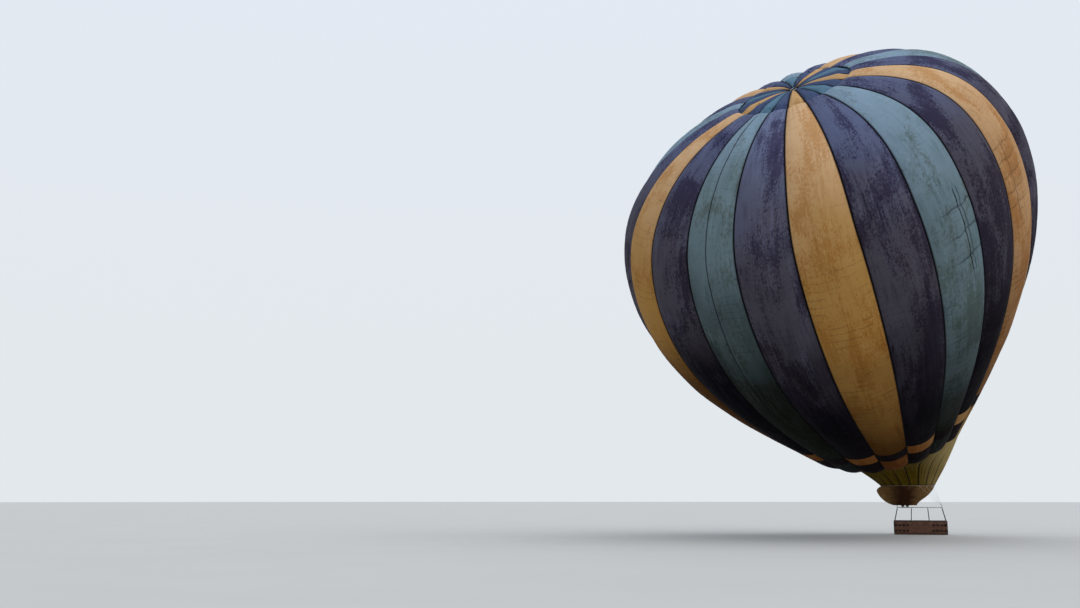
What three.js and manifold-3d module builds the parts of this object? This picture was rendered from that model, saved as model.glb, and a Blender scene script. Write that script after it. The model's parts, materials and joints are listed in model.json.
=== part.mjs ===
// Hot air balloon with a sixteen-place wicker basket, standing inflated and leaning in the wind.
// Units are millimetres and +Z is up. The build frame has its zero under the middle of the basket,
// +X along the basket's long side and +Y away from the side that shows. The whole group is then
// moved so that the origin is the centre of lift, inside the envelope on its leaning axis.

import * as THREE from 'three';
import { mergeVertices } from 'three/addons/utils/BufferGeometryUtils.js';
import Module from 'manifold-3d';

const wasm = await Module();
wasm.setup();

const DEG = Math.PI / 180;
const GAP = 0.3;

// Envelope: place and lean of its axis
const MOUTH = new THREE.Vector3(-850, -340, 3950);
const LEAN_LEFT = 0.277;
const LEAN_FRONT = 0.813;
const AXIS_LENGTH = 36700;
const LIFT_ALONG_AXIS = 24000;

// Envelope: the outline that is turned about the axis
const EQUATOR_RADIUS = 13900;
const EQUATOR_ALONG_AXIS = 24900;
const CROWN_DIP = 920;
const MOUTH_RADIUS = 2120;
const CONE_HALF_ANGLE = 30.8 * DEG;
const CROWN_FULLNESS = 0.745;
const SHOULDER_FULLNESS = 0.545;
const LOWER_FULLNESS = 0.352;
const CONE_SHARE = 0.383;

// Envelope: what the wind does to the round section
const OVAL_SHARE = -0.101;
const OVAL_TURN = 0.17;
const LOBE_SHARE = 0.064;
const LOBE_TURN = 0.12;
const OVAL_POWER = 0.8;
const TILT_OVER = 7000;
const BEND_FRONT = 275;
const BEND_RIGHT = 1180;

// Envelope: how the crown sinks towards its far side, less so at the right, and moves to the right
const SINK = {
  slope: 0.09, reach: 3000, softness: 2000, low: 22000, high: 36000, ease: 0.5, easeOver: 10000,
};
const CROWN_SHIFT = { right: 380, low: 29000, high: 36000 };

// Envelope: gores, shell and crown valve
const GORES = 20;
const FIRST_SEAM_TURN = 0.112;
const GORE_BULGE = 250;
const BULGE_FROM_MOUTH = 3000;
const SHELL = 10;
const CROWN = 0;
const MOUTH_EDGE = 2;
const GORE_ROWS = [0.52, 0.68, 0.84, 1.0, 1.17, 1.34, 1.5, 1.64, 1.76, 1.88, MOUTH_EDGE];
const GORE_COLUMNS = 4;
const VENT_RADIUS = 4000;
const VALVE_OVERLAP = 350;
const CROWN_RING_RADIUS = 260;
const CROWN_RING_THICKNESS = 14;
const TAPE_WIDTH = 50;
const TAPE_THICKNESS = 6;
const TAPE_LIFT = 4.8;

// Skirt and flying wires, which hang from the mouth rope
const MOUTH_ROPE_RADIUS = 22;
const ROPE_SIDES = 6;
const WIRE_RADIUS = 6;
const WIRE_SIDES = 6;
const KARABINER = { width: 70, depth: 30, height: 120, eye: 96 };

// Basket
const BASKET = { length: 4160, width: 1600, height: 1130 };
const RUNNER = { width: 90, height: 55, places: [-604, 0, 604] };
const FLOOR_THICKNESS = 24;
const WALL = 36;
const RIM = { width: 76, height: 60 };
const PILOT_BAY = 1120;
const FOOT_HOLE = { width: 150, height: 110, firstX: 1000, stepX: 310, columns: 4, rows: [320, 760] };

// Load frame, poles and burners
const FRAME = { length: 3600, width: 1100, height: 2190, tube: 25, corner: 90 };
const POLE_RADIUS = 26;
const SOCKET = { radius: 38, height: 90 };
const BURNER_X = -1130;
const CROSS_RAIL_REACH = 620;
const BEARING_HALF = 34;
const GIMBAL = { halfLength: 500, halfWidth: 420, tube: 16 };
const GIMBAL_BOSS = { halfLength: 30, halfWidth: 22, halfHeight: 26 };
const PIN = { radius: 12, pastRail: 20, pastRing: 18 };
const BLOCK = { halfLength: 350, halfWidth: 300, tube: 14 };
const PLATE = { low: -40, high: -6 };
const BURNER = {
  radius: 130, wall: 22, baseRadius: 81, neckRadius: 91, neckTop: 40, coilBottom: 70, coilFloor: 90,
  coilTop: 300, spreadX: 180, spreadY: 150,
};
const TANK = {
  radius: 185, height: 960, x: 320, y: 500, footRadius: 166, footTop: 40, shoulderLow: 810,
  shoulderRadius: 157, shoulderHigh: 870, neckRadius: 102, neckLow: 900, topRadius: 92,
};

// How finely round pieces are faceted, and how far a tool runs past what it cuts or joins
const TUBE_SIDES = 12;
const RING_TUBE_SIDES = 10;
const PIN_SIDES = 16;
const LATHE_SIDES = 20;
const CUT_PAST = 10;
const JOIN_INTO = 1;

// Small steps of the outline's parameter and of the turn, and how often a search halves its range
const NEAR = 1e-3;
const HALVINGS = 40;

const COLOURS = {
  orange: 0xb07a35, charcoal: 0x2b2b3c, green: 0x42564f, skirt: 0x4b3420, wicker: 0x8a5a3a,
  leather: 0x1d1a1c, steel: 0xb9bcc0, wood: 0x7a6242, tank: 0x9aa0a4, tape: 0x1e1c22,
};
const GORE_ORDER = ['orange', 'charcoal', 'green', 'charcoal'];

function cloth(colour) {
  return new THREE.MeshStandardMaterial({ color: COLOURS[colour], roughness: 0.75, metalness: 0 });
}

function metal(colour) {
  return new THREE.MeshStandardMaterial({ color: COLOURS[colour], roughness: 0.35, metalness: 0.9 });
}

// The envelope's surface

const axis = new THREE.Vector3(-LEAN_LEFT, -LEAN_FRONT, 1).normalize();
const towardsViewer = new THREE.Vector3(0, -1, 0);

function sectionAxes(normal) {
  const front = towardsViewer.clone().addScaledVector(normal, -towardsViewer.dot(normal)).normalize();
  const right = new THREE.Vector3().crossVectors(normal, front);
  return { front, right };
}

const axisSection = sectionAxes(axis);

const upperOutline = new THREE.CubicBezierCurve(
  new THREE.Vector2(0, AXIS_LENGTH - CROWN_DIP),
  new THREE.Vector2(CROWN_FULLNESS * EQUATOR_RADIUS, AXIS_LENGTH),
  new THREE.Vector2(
    EQUATOR_RADIUS,
    EQUATOR_ALONG_AXIS + SHOULDER_FULLNESS * (AXIS_LENGTH - EQUATOR_ALONG_AXIS),
  ),
  new THREE.Vector2(EQUATOR_RADIUS, EQUATOR_ALONG_AXIS),
);
const lowerOutline = new THREE.CubicBezierCurve(
  new THREE.Vector2(EQUATOR_RADIUS, EQUATOR_ALONG_AXIS),
  new THREE.Vector2(EQUATOR_RADIUS, EQUATOR_ALONG_AXIS * (1 - LOWER_FULLNESS)),
  new THREE.Vector2(
    MOUTH_RADIUS + CONE_SHARE * EQUATOR_ALONG_AXIS * Math.tan(CONE_HALF_ANGLE),
    CONE_SHARE * EQUATOR_ALONG_AXIS,
  ),
  new THREE.Vector2(MOUTH_RADIUS, 0),
);

// The outline runs from the crown, at 0, by the equator, at 1, to the mouth, at 2.
function outline(t) {
  return t < 1 ? upperOutline.getPoint(t) : lowerOutline.getPoint(t - 1);
}

function outlineAtRadius(radius) {
  let low = 0;
  let high = 1;
  for (let i = 0; i < HALVINGS; i += 1) {
    const middle = (low + high) / 2;
    if (outline(middle).x < radius) low = middle;
    else high = middle;
  }
  return (low + high) / 2;
}

// How far a point of the shoulder or crown sinks along the axis.
function sinkAt(along, frontward, rightward) {
  const behind = SINK.reach - frontward;
  const softened = 0.5 * (behind + Math.hypot(behind, SINK.softness));
  const eased = 1 - SINK.ease * THREE.MathUtils.smoothstep(rightward, 0, SINK.easeOver);
  return SINK.slope * softened * eased * THREE.MathUtils.smoothstep(along, SINK.low, SINK.high);
}

// A point of the surface that the seams lie on, without the gores' bulge.
function seamSurface(t, turn) {
  const { x: radius, y: along } = outline(t);
  const share = along / AXIS_LENGTH;
  const tilt = THREE.MathUtils.smoothstep(along, 0, TILT_OVER);
  const shifted = THREE.MathUtils.smoothstep(along, CROWN_SHIFT.low, CROWN_SHIFT.high);
  const normal = new THREE.Vector3(0, 0, 1).lerp(axis, tilt).normalize();
  const { front, right } = sectionAxes(normal);
  const clamped = THREE.MathUtils.clamp(share, 0, 1);
  const oval = OVAL_SHARE * Math.sin(Math.PI * clamped ** OVAL_POWER) * Math.cos(2 * (turn - OVAL_TURN));
  const lobe = LOBE_SHARE * Math.sin(Math.PI * clamped) * Math.cos(3 * (turn - LOBE_TURN));
  const r = radius * (1 + oval + lobe);
  const frontward = r * Math.cos(turn);
  const rightward = r * Math.sin(turn);
  return MOUTH.clone()
    .addScaledVector(axis, along - sinkAt(along, frontward, rightward))
    .addScaledVector(axisSection.front, BEND_FRONT * share * share)
    .addScaledVector(axisSection.right, BEND_RIGHT * share * share + CROWN_SHIFT.right * shifted)
    .addScaledVector(front, frontward)
    .addScaledVector(right, rightward);
}

function surfaceNormal(t, turn) {
  const safe = Math.max(t, 2 * NEAR);
  const along = seamSurface(Math.min(safe + NEAR, MOUTH_EDGE), turn).sub(seamSurface(safe - NEAR, turn));
  const across = seamSurface(safe, turn + NEAR).sub(seamSurface(safe, turn - NEAR));
  return new THREE.Vector3().crossVectors(along, across).normalize();
}

function seamTurn(seam) {
  return FIRST_SEAM_TURN + (seam * 2 * Math.PI) / GORES;
}

// A point of the gored surface: share runs 0 to 1 across one gore, lift is outward.
function goreSurface(t, gore, share, lift) {
  const turn = seamTurn(gore - 1 + share);
  const { x: radius, y: along } = outline(t);
  const fullness = (radius / EQUATOR_RADIUS) * THREE.MathUtils.smoothstep(along, 0, BULGE_FROM_MOUTH);
  const bulge = GORE_BULGE * fullness * Math.sin(Math.PI * share);
  return seamSurface(t, turn).addScaledVector(surfaceNormal(t, turn), bulge + lift);
}

// Closed meshes

function geometryFrom(points, triangles) {
  const geometry = new THREE.BufferGeometry();
  const values = points.flatMap((p) => [p.x, p.y, p.z]);
  geometry.setAttribute('position', new THREE.Float32BufferAttribute(values, 3));
  geometry.setIndex(triangles.flat());
  return geometry;
}

function quad(a, b, c, d) {
  return [[a, b, c], [a, c, d]];
}

// A shell between two grids of points, open or closed round its columns.
function shellBetween(outer, inner, closedRound) {
  const rows = outer.length;
  const columns = outer[0].length;
  const points = [...outer.flat(), ...inner.flat()];
  const out = (i, j) => i * columns + (j % columns);
  const into = (i, j) => rows * columns + out(i, j);
  const triangles = [];
  const lastColumn = closedRound ? columns : columns - 1;
  for (let i = 0; i < rows - 1; i += 1) {
    for (let j = 0; j < lastColumn; j += 1) {
      triangles.push(...quad(out(i, j), out(i + 1, j), out(i + 1, j + 1), out(i, j + 1)));
      triangles.push(...quad(into(i, j), into(i, j + 1), into(i + 1, j + 1), into(i + 1, j)));
    }
  }
  for (let j = 0; j < lastColumn; j += 1) {
    triangles.push(...quad(out(0, j), out(0, j + 1), into(0, j + 1), into(0, j)));
    triangles.push(...quad(out(rows - 1, j), into(rows - 1, j), into(rows - 1, j + 1), out(rows - 1, j + 1)));
  }
  if (!closedRound) {
    const last = columns - 1;
    for (let i = 0; i < rows - 1; i += 1) {
      triangles.push(...quad(out(i, 0), into(i, 0), into(i + 1, 0), out(i + 1, 0)));
      triangles.push([into(i, last), out(i, last), into(i + 1, last)]);
      triangles.push([out(i, last), out(i + 1, last), into(i + 1, last)]);
    }
  }
  return geometryFrom(points, triangles);
}

function toSolid(geometry) {
  const bare = geometry.clone();
  bare.deleteAttribute('normal');
  bare.deleteAttribute('uv');
  const merged = mergeVertices(bare, 1e-3);
  const vertProperties = new Float32Array(merged.attributes.position.array);
  const triVerts = new Uint32Array(merged.index.array);
  return new wasm.Manifold(new wasm.Mesh({ numProp: 3, vertProperties, triVerts }));
}

function toGeometry(solid) {
  const mesh = solid.getMesh();
  const geometry = new THREE.BufferGeometry();
  geometry.setAttribute('position', new THREE.BufferAttribute(new Float32Array(mesh.vertProperties), 3));
  geometry.setIndex(Array.from(mesh.triVerts));
  return geometry;
}

function join(solids) {
  return solids.reduce((whole, next) => whole.add(next));
}

function boxSolid(low, high) {
  const size = high.map((value, i) => value - low[i]);
  const geometry = new THREE.BoxGeometry(...size);
  geometry.translate(...low.map((value, i) => value + size[i] / 2));
  return toSolid(geometry);
}

function rodSolid(from, to, radius, sides) {
  const start = new THREE.Vector3(...from);
  const way = new THREE.Vector3(...to).sub(start);
  const geometry = new THREE.CylinderGeometry(radius, radius, way.length(), sides);
  geometry.applyQuaternion(new THREE.Quaternion().setFromUnitVectors(
    new THREE.Vector3(0, 1, 0), way.clone().normalize(),
  ));
  geometry.translate(...start.addScaledVector(way, 0.5).toArray());
  return toSolid(geometry);
}

function latheSolid(profile, segments, x, y, z) {
  const geometry = new THREE.LatheGeometry(profile.map(([r, h]) => new THREE.Vector2(r, h)), segments);
  geometry.rotateX(Math.PI / 2);
  geometry.translate(x, y, z);
  return toSolid(geometry);
}

const model = new THREE.Group();
const liftCentre = MOUTH.clone().addScaledVector(axis, LIFT_ALONG_AXIS).round();
model.position.copy(liftCentre).negate();

function addMesh(name, geometry, material) {
  const mesh = new THREE.Mesh(geometry, material);
  mesh.name = name;
  model.add(mesh);
}

function addSolid(name, solid, material) {
  addMesh(name, toGeometry(solid), material);
}

// Gores: twenty shells from the vent's edge to the mouth

const ventEdge = outlineAtRadius(VENT_RADIUS);
const valveEdge = outlineAtRadius(VENT_RADIUS + VALVE_OVERLAP);
const goreRows = [ventEdge, valveEdge, ...GORE_ROWS];

function addGore(gore) {
  const grid = (lift) => goreRows.map((t) => {
    const inset = (0.5 * GAP * GORES) / (2 * Math.PI * outline(t).x);
    const row = [];
    for (let j = 0; j <= GORE_COLUMNS; j += 1) {
      const share = THREE.MathUtils.clamp(j / GORE_COLUMNS, inset, 1 - inset);
      row.push(goreSurface(t, gore, share, lift));
    }
    return row;
  });
  const name = `gore_${String(gore + 1).padStart(2, '0')}`;
  addMesh(name, shellBetween(grid(0), grid(-SHELL), false), cloth(GORE_ORDER[gore % 4]));
}

for (let gore = 0; gore < GORES; gore += 1) addGore(gore);

// Crown valve: a round panel that closes the vent from inside

function addCrownValve() {
  const drop = SHELL + GAP;
  const rows = [CROWN, outlineAtRadius(VENT_RADIUS / 2), ventEdge, valveEdge];
  const around = GORES * GORE_COLUMNS;
  const ring = (t, lift) => Array.from({ length: around }, (_, j) => {
    const gore = Math.floor(j / GORE_COLUMNS);
    return goreSurface(t, gore, (j % GORE_COLUMNS) / GORE_COLUMNS, lift);
  });
  const points = [];
  const triangles = [];
  const sides = [-drop, -drop - SHELL].map((lift) => {
    const upward = surfaceNormal(CROWN + 10 * NEAR, 0);
    const centre = points.push(seamSurface(CROWN, 0).addScaledVector(upward, lift)) - 1;
    const first = points.length;
    rows.slice(1).forEach((t) => points.push(...ring(t, lift)));
    return { centre, at: (i, j) => first + (i - 1) * around + (j % around) };
  });
  const [top, bottom] = sides;
  const last = rows.length - 1;
  for (let j = 0; j < around; j += 1) {
    const k = j + 1;
    triangles.push([top.centre, top.at(1, j), top.at(1, k)]);
    triangles.push([bottom.centre, bottom.at(1, k), bottom.at(1, j)]);
    for (let i = 1; i < last; i += 1) {
      triangles.push(...quad(top.at(i, j), top.at(i + 1, j), top.at(i + 1, k), top.at(i, k)));
      triangles.push(...quad(bottom.at(i, j), bottom.at(i, k), bottom.at(i + 1, k), bottom.at(i + 1, j)));
    }
    triangles.push(...quad(top.at(last, j), bottom.at(last, j), bottom.at(last, k), top.at(last, k)));
  }
  addMesh('crown_valve', geometryFrom(points, triangles), cloth('charcoal'));
}

addCrownValve();

// Crown tapes: the load tapes over the vent, joined by the crown ring

function tapeSolid(seam) {
  const turn = seamTurn(seam);
  const stations = [CROWN_RING_RADIUS, VENT_RADIUS / 2, VENT_RADIUS, VENT_RADIUS + VALVE_OVERLAP]
    .map(outlineAtRadius);
  const grid = (lift) => stations.map((t) => {
    const middle = seamSurface(t, turn).addScaledVector(surfaceNormal(t, turn), lift);
    const ahead = seamSurface(t, turn + NEAR).sub(seamSurface(t, turn - NEAR)).normalize();
    return [-0.5, 0.5].map((side) => middle.clone().addScaledVector(ahead, side * TAPE_WIDTH));
  });
  return toSolid(shellBetween(grid(TAPE_LIFT + TAPE_THICKNESS), grid(TAPE_LIFT), false));
}

function addCrownTapes() {
  const tube = new THREE.TorusGeometry(CROWN_RING_RADIUS, CROWN_RING_THICKNESS, ROPE_SIDES, LATHE_SIDES);
  const edge = outlineAtRadius(CROWN_RING_RADIUS);
  const [front, right, back, left] = [0, 0.5, 1, 1.5].map((half) => seamSurface(edge, half * Math.PI));
  const centre = front.clone().add(back).multiplyScalar(0.5);
  const upward = new THREE.Vector3().crossVectors(front.sub(back), right.sub(left)).normalize();
  tube.applyQuaternion(new THREE.Quaternion().setFromUnitVectors(new THREE.Vector3(0, 0, 1), upward));
  centre.addScaledVector(upward, CROWN_RING_THICKNESS);
  tube.translate(...centre.toArray());
  const tapes = Array.from({ length: GORES }, (_, seam) => tapeSolid(seam));
  addSolid('crown_tapes', join([toSolid(tube), ...tapes]), cloth('tape'));
}

addCrownTapes();

// Mouth rope and flying wires, down to a karabiner at each corner of the load frame

const frameTop = FRAME.height + FRAME.corner / 2;

// The rope lies below the gores' lower edge, in line with their cloth.
function ropePoint(turn, lengthwise = 0, outward = 0) {
  const edge = seamSurface(MOUTH_EDGE, turn);
  const onward = edge.clone().sub(seamSurface(MOUTH_EDGE - 5 * NEAR, turn)).normalize();
  return edge
    .addScaledVector(surfaceNormal(MOUTH_EDGE - NEAR, turn), outward - SHELL / 2)
    .addScaledVector(onward, lengthwise + MOUTH_ROPE_RADIUS + GAP);
}

function mouthRope() {
  const stations = GORES * GORE_COLUMNS;
  const sides = ROPE_SIDES;
  const points = [];
  const triangles = [];
  for (let i = 0; i < stations; i += 1) {
    for (let j = 0; j < sides; j += 1) {
      const spin = (j * 2 * Math.PI) / sides;
      points.push(ropePoint(
        seamTurn(i / GORE_COLUMNS), -MOUTH_ROPE_RADIUS * Math.cos(spin), MOUTH_ROPE_RADIUS * Math.sin(spin),
      ));
      const next = (i + 1) % stations;
      const side = (j + 1) % sides;
      triangles.push(...quad(i * sides + j, i * sides + side, next * sides + side, next * sides + j));
    }
  }
  return toSolid(geometryFrom(points, triangles));
}

// The load frame's corners: side along x, side along y, and the seams whose wires each corner
// carries, counted from the front seam to the right.
const frameEndX = FRAME.length / 2 - FRAME.corner / 2;
const frameEndY = FRAME.width / 2 - FRAME.corner / 2;
const corners = [
  { sideX: -1, sideY: -1, seams: [-2, -3, -4, -5] },
  { sideX: 1, sideY: -1, seams: [1, 2, 3, 4] },
  { sideX: 1, sideY: 1, seams: [6, 7, 8, 9] },
  { sideX: -1, sideY: 1, seams: [11, 12, 13, 14] },
].map(({ sideX, sideY, seams }) => ({ x: sideX * frameEndX, y: sideY * frameEndY, seams }));

function addFlyingWires() {
  const parts = [mouthRope()];
  corners.forEach(({ x, y, seams }) => {
    const bottom = frameTop + GAP;
    parts.push(boxSolid(
      [x - KARABINER.width / 2, y - KARABINER.depth / 2, bottom],
      [x + KARABINER.width / 2, y + KARABINER.depth / 2, bottom + KARABINER.height],
    ));
    seams.forEach((seam) => {
      const top = ropePoint(seamTurn(seam)).toArray();
      parts.push(rodSolid([x, y, bottom + KARABINER.eye], top, WIRE_RADIUS, WIRE_SIDES));
    });
  });
  addSolid('flying_wires', join(parts), metal('steel'));
}

addFlyingWires();

// Skirt: one sheet under the mouth rope, drawn in to a hem above the burners.
// Columns: height, middle x, middle y, half length, half depth.
const SKIRT_SECTIONS = [
  [3600, -1110, -330, 2170, 1830],
  [3150, -1225, -260, 1865, 1560],
  [2760, -1320, -150, 1430, 1290],
  [2480, -1260, -50, 1080, 1090],
  [2360, -1080, 0, 900, 1000],
];
const SKIRT_SIDES = 40;
const SKIRT_OFF_ROPE = 18;
const SKIRT_DROP = 1.3;
const SKIRT_CROSSES = { low: 0.4, high: 0.6 };

// The skirt's top edge lies outside the wires at the left and inside them at the right, and
// crosses under the rope in between.
function addSkirt() {
  const leftness = (turn) => 0.5 - 0.5 * Math.sin(turn);
  const grid = (inset) => {
    const turns = Array.from({ length: SKIRT_SIDES }, (_, j) => (j * 2 * Math.PI) / SKIRT_SIDES);
    const top = turns.map((turn) => {
      const point = ropePoint(turn);
      const away = point.clone().sub(MOUTH).setZ(0).normalize();
      const outside = THREE.MathUtils.smoothstep(leftness(turn), SKIRT_CROSSES.low, SKIRT_CROSSES.high);
      const outer = THREE.MathUtils.lerp(-SKIRT_OFF_ROPE, SKIRT_OFF_ROPE, outside);
      const straddles = outer > 0 && outer < SHELL;
      const nearest = straddles ? 0 : Math.min(Math.abs(outer), Math.abs(outer - SHELL));
      point.addScaledVector(away, outer - inset);
      point.z -= Math.sqrt(MOUTH_ROPE_RADIUS ** 2 - nearest ** 2) + SKIRT_DROP;
      return point;
    });
    const ringAt = ([z, x, y, halfLength, halfDepth]) => turns.map((turn) => new THREE.Vector3(
      x + (halfLength - inset) * Math.sin(turn), y - (halfDepth - inset) * Math.cos(turn), z,
    ));
    const rest = SKIRT_SECTIONS.map(ringAt);
    return [top, ...rest];
  };
  addMesh('skirt', shellBetween(grid(0), grid(SHELL), true), cloth('skirt'));
}

addSkirt();

// Load frame: a rectangle of tubes, corner blocks, pole sockets and the two rails of the gimbal

const POLES = [
  { foot: 1990, top: frameEndX },
  { foot: 700, top: 640 },
];
const poleFootY = BASKET.width / 2 - RIM.width / 2;
const socketBottom = FRAME.height - SOCKET.height;
const railX = BURNER_X + CROSS_RAIL_REACH;

function frameTube(from, to) {
  return rodSolid([...from, FRAME.height], [...to, FRAME.height], FRAME.tube, TUBE_SIDES);
}

function socket(x, y) {
  return rodSolid([x, y, socketBottom], [x, y, FRAME.height], SOCKET.radius, TUBE_SIDES);
}

function blockAt(x, y, half) {
  return boxSolid([x - half, y - half, FRAME.height - half], [x + half, y + half, FRAME.height + half]);
}

function pin(from, to, clearance = 0) {
  return rodSolid([...from, FRAME.height], [...to, FRAME.height], PIN.radius + clearance, PIN_SIDES);
}

function addLoadFrame() {
  const x = frameEndX;
  const y = frameEndY;
  const parts = [];
  [-1, 1].forEach((side) => {
    parts.push(frameTube([-x, side * y], [x, side * y]));
    parts.push(frameTube([side * x, -y], [side * x, y]));
  });
  corners.forEach((corner) => parts.push(blockAt(corner.x, corner.y, FRAME.corner / 2)));
  POLES.forEach(({ top }) => [-1, 1].forEach((sideX) => [-1, 1].forEach((sideY) => {
    parts.push(socket(sideX * top, sideY * y));
  })));
  parts.push(frameTube([railX, -y], [railX, y]));
  [railX, -x].forEach((place) => parts.push(blockAt(place, 0, BEARING_HALF)));
  const bore = pin([-x - FRAME.corner, 0], [railX + FRAME.corner, 0], GAP);
  addSolid('load_frame', join(parts).subtract(bore), metal('steel'));
}

addLoadFrame();

// Gimbal ring: turns about X on two pins in the load frame's rails

function ringOfTubes(halfLength, halfWidth, tube) {
  const z = FRAME.height;
  const left = BURNER_X - halfLength;
  const right = BURNER_X + halfLength;
  const reach = halfWidth + tube;
  return join([
    rodSolid([left, -halfWidth, z], [right, -halfWidth, z], tube, RING_TUBE_SIDES),
    rodSolid([left, halfWidth, z], [right, halfWidth, z], tube, RING_TUBE_SIDES),
    rodSolid([left, -reach, z], [left, reach, z], tube, RING_TUBE_SIDES),
    rodSolid([right, -reach, z], [right, reach, z], tube, RING_TUBE_SIDES),
  ]);
}

function addGimbalRing() {
  const pins = [
    pin([-frameEndX - PIN.pastRail, 0], [BURNER_X - GIMBAL.halfLength, 0]),
    pin([BURNER_X + GIMBAL.halfLength, 0], [railX + PIN.pastRail, 0]),
  ];
  const bosses = [-1, 1].map((side) => boxSolid(
    [
      BURNER_X - GIMBAL_BOSS.halfLength,
      side * GIMBAL.halfWidth - GIMBAL_BOSS.halfWidth,
      FRAME.height - GIMBAL_BOSS.halfHeight,
    ],
    [
      BURNER_X + GIMBAL_BOSS.halfLength,
      side * GIMBAL.halfWidth + GIMBAL_BOSS.halfWidth,
      FRAME.height + GIMBAL_BOSS.halfHeight,
    ],
  ));
  const ring = join([ringOfTubes(GIMBAL.halfLength, GIMBAL.halfWidth, GIMBAL.tube), ...pins, ...bosses]);
  const bore = pin([BURNER_X, -frameEndY], [BURNER_X, frameEndY], GAP);
  addSolid('gimbal_ring', ring.subtract(bore), metal('steel'));
}

addGimbalRing();

// Burner frame: turns about Y inside the gimbal ring and carries four burners

const burnerPlaces = [[-1, -1], [1, -1], [-1, 1], [1, 1]].map(([x, y]) => [
  BURNER_X + x * BURNER.spreadX, y * BURNER.spreadY,
]);

function addBurnerFrame() {
  const z = FRAME.height;
  const reach = GIMBAL.halfWidth + PIN.pastRing;
  const parts = [
    ringOfTubes(BLOCK.halfLength, BLOCK.halfWidth, BLOCK.tube),
    pin([BURNER_X, BLOCK.halfWidth], [BURNER_X, reach]),
    pin([BURNER_X, -reach], [BURNER_X, -BLOCK.halfWidth]),
    boxSolid(
      [BURNER_X - BLOCK.halfLength, -BLOCK.halfWidth, z + PLATE.low],
      [BURNER_X + BLOCK.halfLength, BLOCK.halfWidth, z + PLATE.high],
    ),
  ];
  addSolid('burner_frame', join(parts), metal('steel'));
}

addBurnerFrame();

// Burner: a can on the plate with the coil's drum above it, open at the top
function addBurner(index, [x, y]) {
  const { radius, wall, baseRadius, neckRadius, neckTop, coilBottom, coilFloor, coilTop } = BURNER;
  const foot = PLATE.high + GAP;
  const profile = [
    [0, foot], [baseRadius, foot], [neckRadius, neckTop], [radius, coilBottom],
    [radius, coilTop], [radius - wall, coilTop], [radius - wall, coilFloor], [0, coilFloor],
  ];
  addSolid(`burner_${index + 1}`, latheSolid(profile, LATHE_SIDES, x, y, FRAME.height), metal('steel'));
}

burnerPlaces.forEach((place, index) => addBurner(index, place));

// Poles: sheared prisms from the rim's top face to the sockets under the load frame

function poleGeometry(foot, top) {
  const sides = RING_TUBE_SIDES;
  const ring = ([x, y, z]) => Array.from({ length: sides }, (_, i) => {
    const turn = (i * 2 * Math.PI) / sides;
    return new THREE.Vector3(x + POLE_RADIUS * Math.cos(turn), y + POLE_RADIUS * Math.sin(turn), z);
  });
  const points = [...ring(foot), ...ring(top)];
  const triangles = [];
  for (let i = 0; i < sides; i += 1) {
    const next = (i + 1) % sides;
    triangles.push(...quad(i, next, sides + next, sides + i));
    if (i > 0 && i < sides - 1) {
      triangles.push([0, next, i]);
      triangles.push([sides, sides + i, sides + next]);
    }
  }
  return geometryFrom(points, triangles);
}

function addPoles() {
  let count = 0;
  [-1, 1].forEach((sideY) => {
    [-1, 1].forEach((sideX) => {
      POLES.forEach(({ foot, top }) => {
        count += 1;
        addMesh(`pole_${count}`, poleGeometry(
          [sideX * foot, sideY * poleFootY, BASKET.height + GAP],
          [sideX * top, sideY * frameEndY, socketBottom - GAP],
        ), cloth('leather'));
      });
    });
  });
}

addPoles();

// Basket: floor on runners, four woven walls, two T-shaped partitions and the padded rim

const floorBottom = RUNNER.height;
const wallBottom = floorBottom + FLOOR_THICKNESS + GAP;
const wallTop = BASKET.height - RIM.height - GAP;
const halfLength = BASKET.length / 2;
const halfWidth = BASKET.width / 2;

function addFloor() {
  const parts = [boxSolid([-halfLength, -halfWidth, floorBottom], [halfLength, halfWidth, wallBottom - GAP])];
  RUNNER.places.forEach((y) => parts.push(boxSolid(
    [-halfLength, y - RUNNER.width / 2, 0], [halfLength, y + RUNNER.width / 2, floorBottom + JOIN_INTO],
  )));
  addSolid('basket_floor', join(parts), cloth('wood'));
}

function addLongWall(name, side) {
  const outer = side * halfWidth;
  const inner = side * (halfWidth - WALL);
  const y = [Math.min(outer, inner), Math.max(outer, inner)];
  let wall = boxSolid([-halfLength, y[0], wallBottom], [halfLength, y[1], wallTop]);
  [-1, 1].forEach((end) => {
    for (let column = 0; column < FOOT_HOLE.columns; column += 1) {
      const x = end * (FOOT_HOLE.firstX + column * FOOT_HOLE.stepX);
      FOOT_HOLE.rows.forEach((z) => {
        wall = wall.subtract(boxSolid(
          [x - FOOT_HOLE.width / 2, y[0] - CUT_PAST, z - FOOT_HOLE.height / 2],
          [x + FOOT_HOLE.width / 2, y[1] + CUT_PAST, z + FOOT_HOLE.height / 2],
        ));
      });
    }
  });
  addSolid(name, wall, cloth('wicker'));
}

function addEndWall(name, side) {
  const outer = side * halfLength;
  const inner = side * (halfLength - WALL);
  const reach = halfWidth - WALL - GAP;
  addSolid(name, boxSolid(
    [Math.min(outer, inner), -reach, wallBottom], [Math.max(outer, inner), reach, wallTop],
  ), cloth('wicker'));
}

function addPartition(name, side) {
  const reach = halfWidth - WALL - GAP;
  const crossInner = PILOT_BAY / 2;
  const crossOuter = crossInner + WALL;
  const end = halfLength - WALL - GAP;
  const x = (a, b) => [Math.min(side * a, side * b), Math.max(side * a, side * b)];
  const [crossLow, crossHigh] = x(crossInner, crossOuter);
  const [divideLow, divideHigh] = x(crossOuter - JOIN_INTO, end);
  addSolid(name, join([
    boxSolid([crossLow, -reach, wallBottom], [crossHigh, reach, wallTop]),
    boxSolid([divideLow, -WALL / 2, wallBottom], [divideHigh, WALL / 2, wallTop]),
  ]), cloth('wicker'));
}

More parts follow.
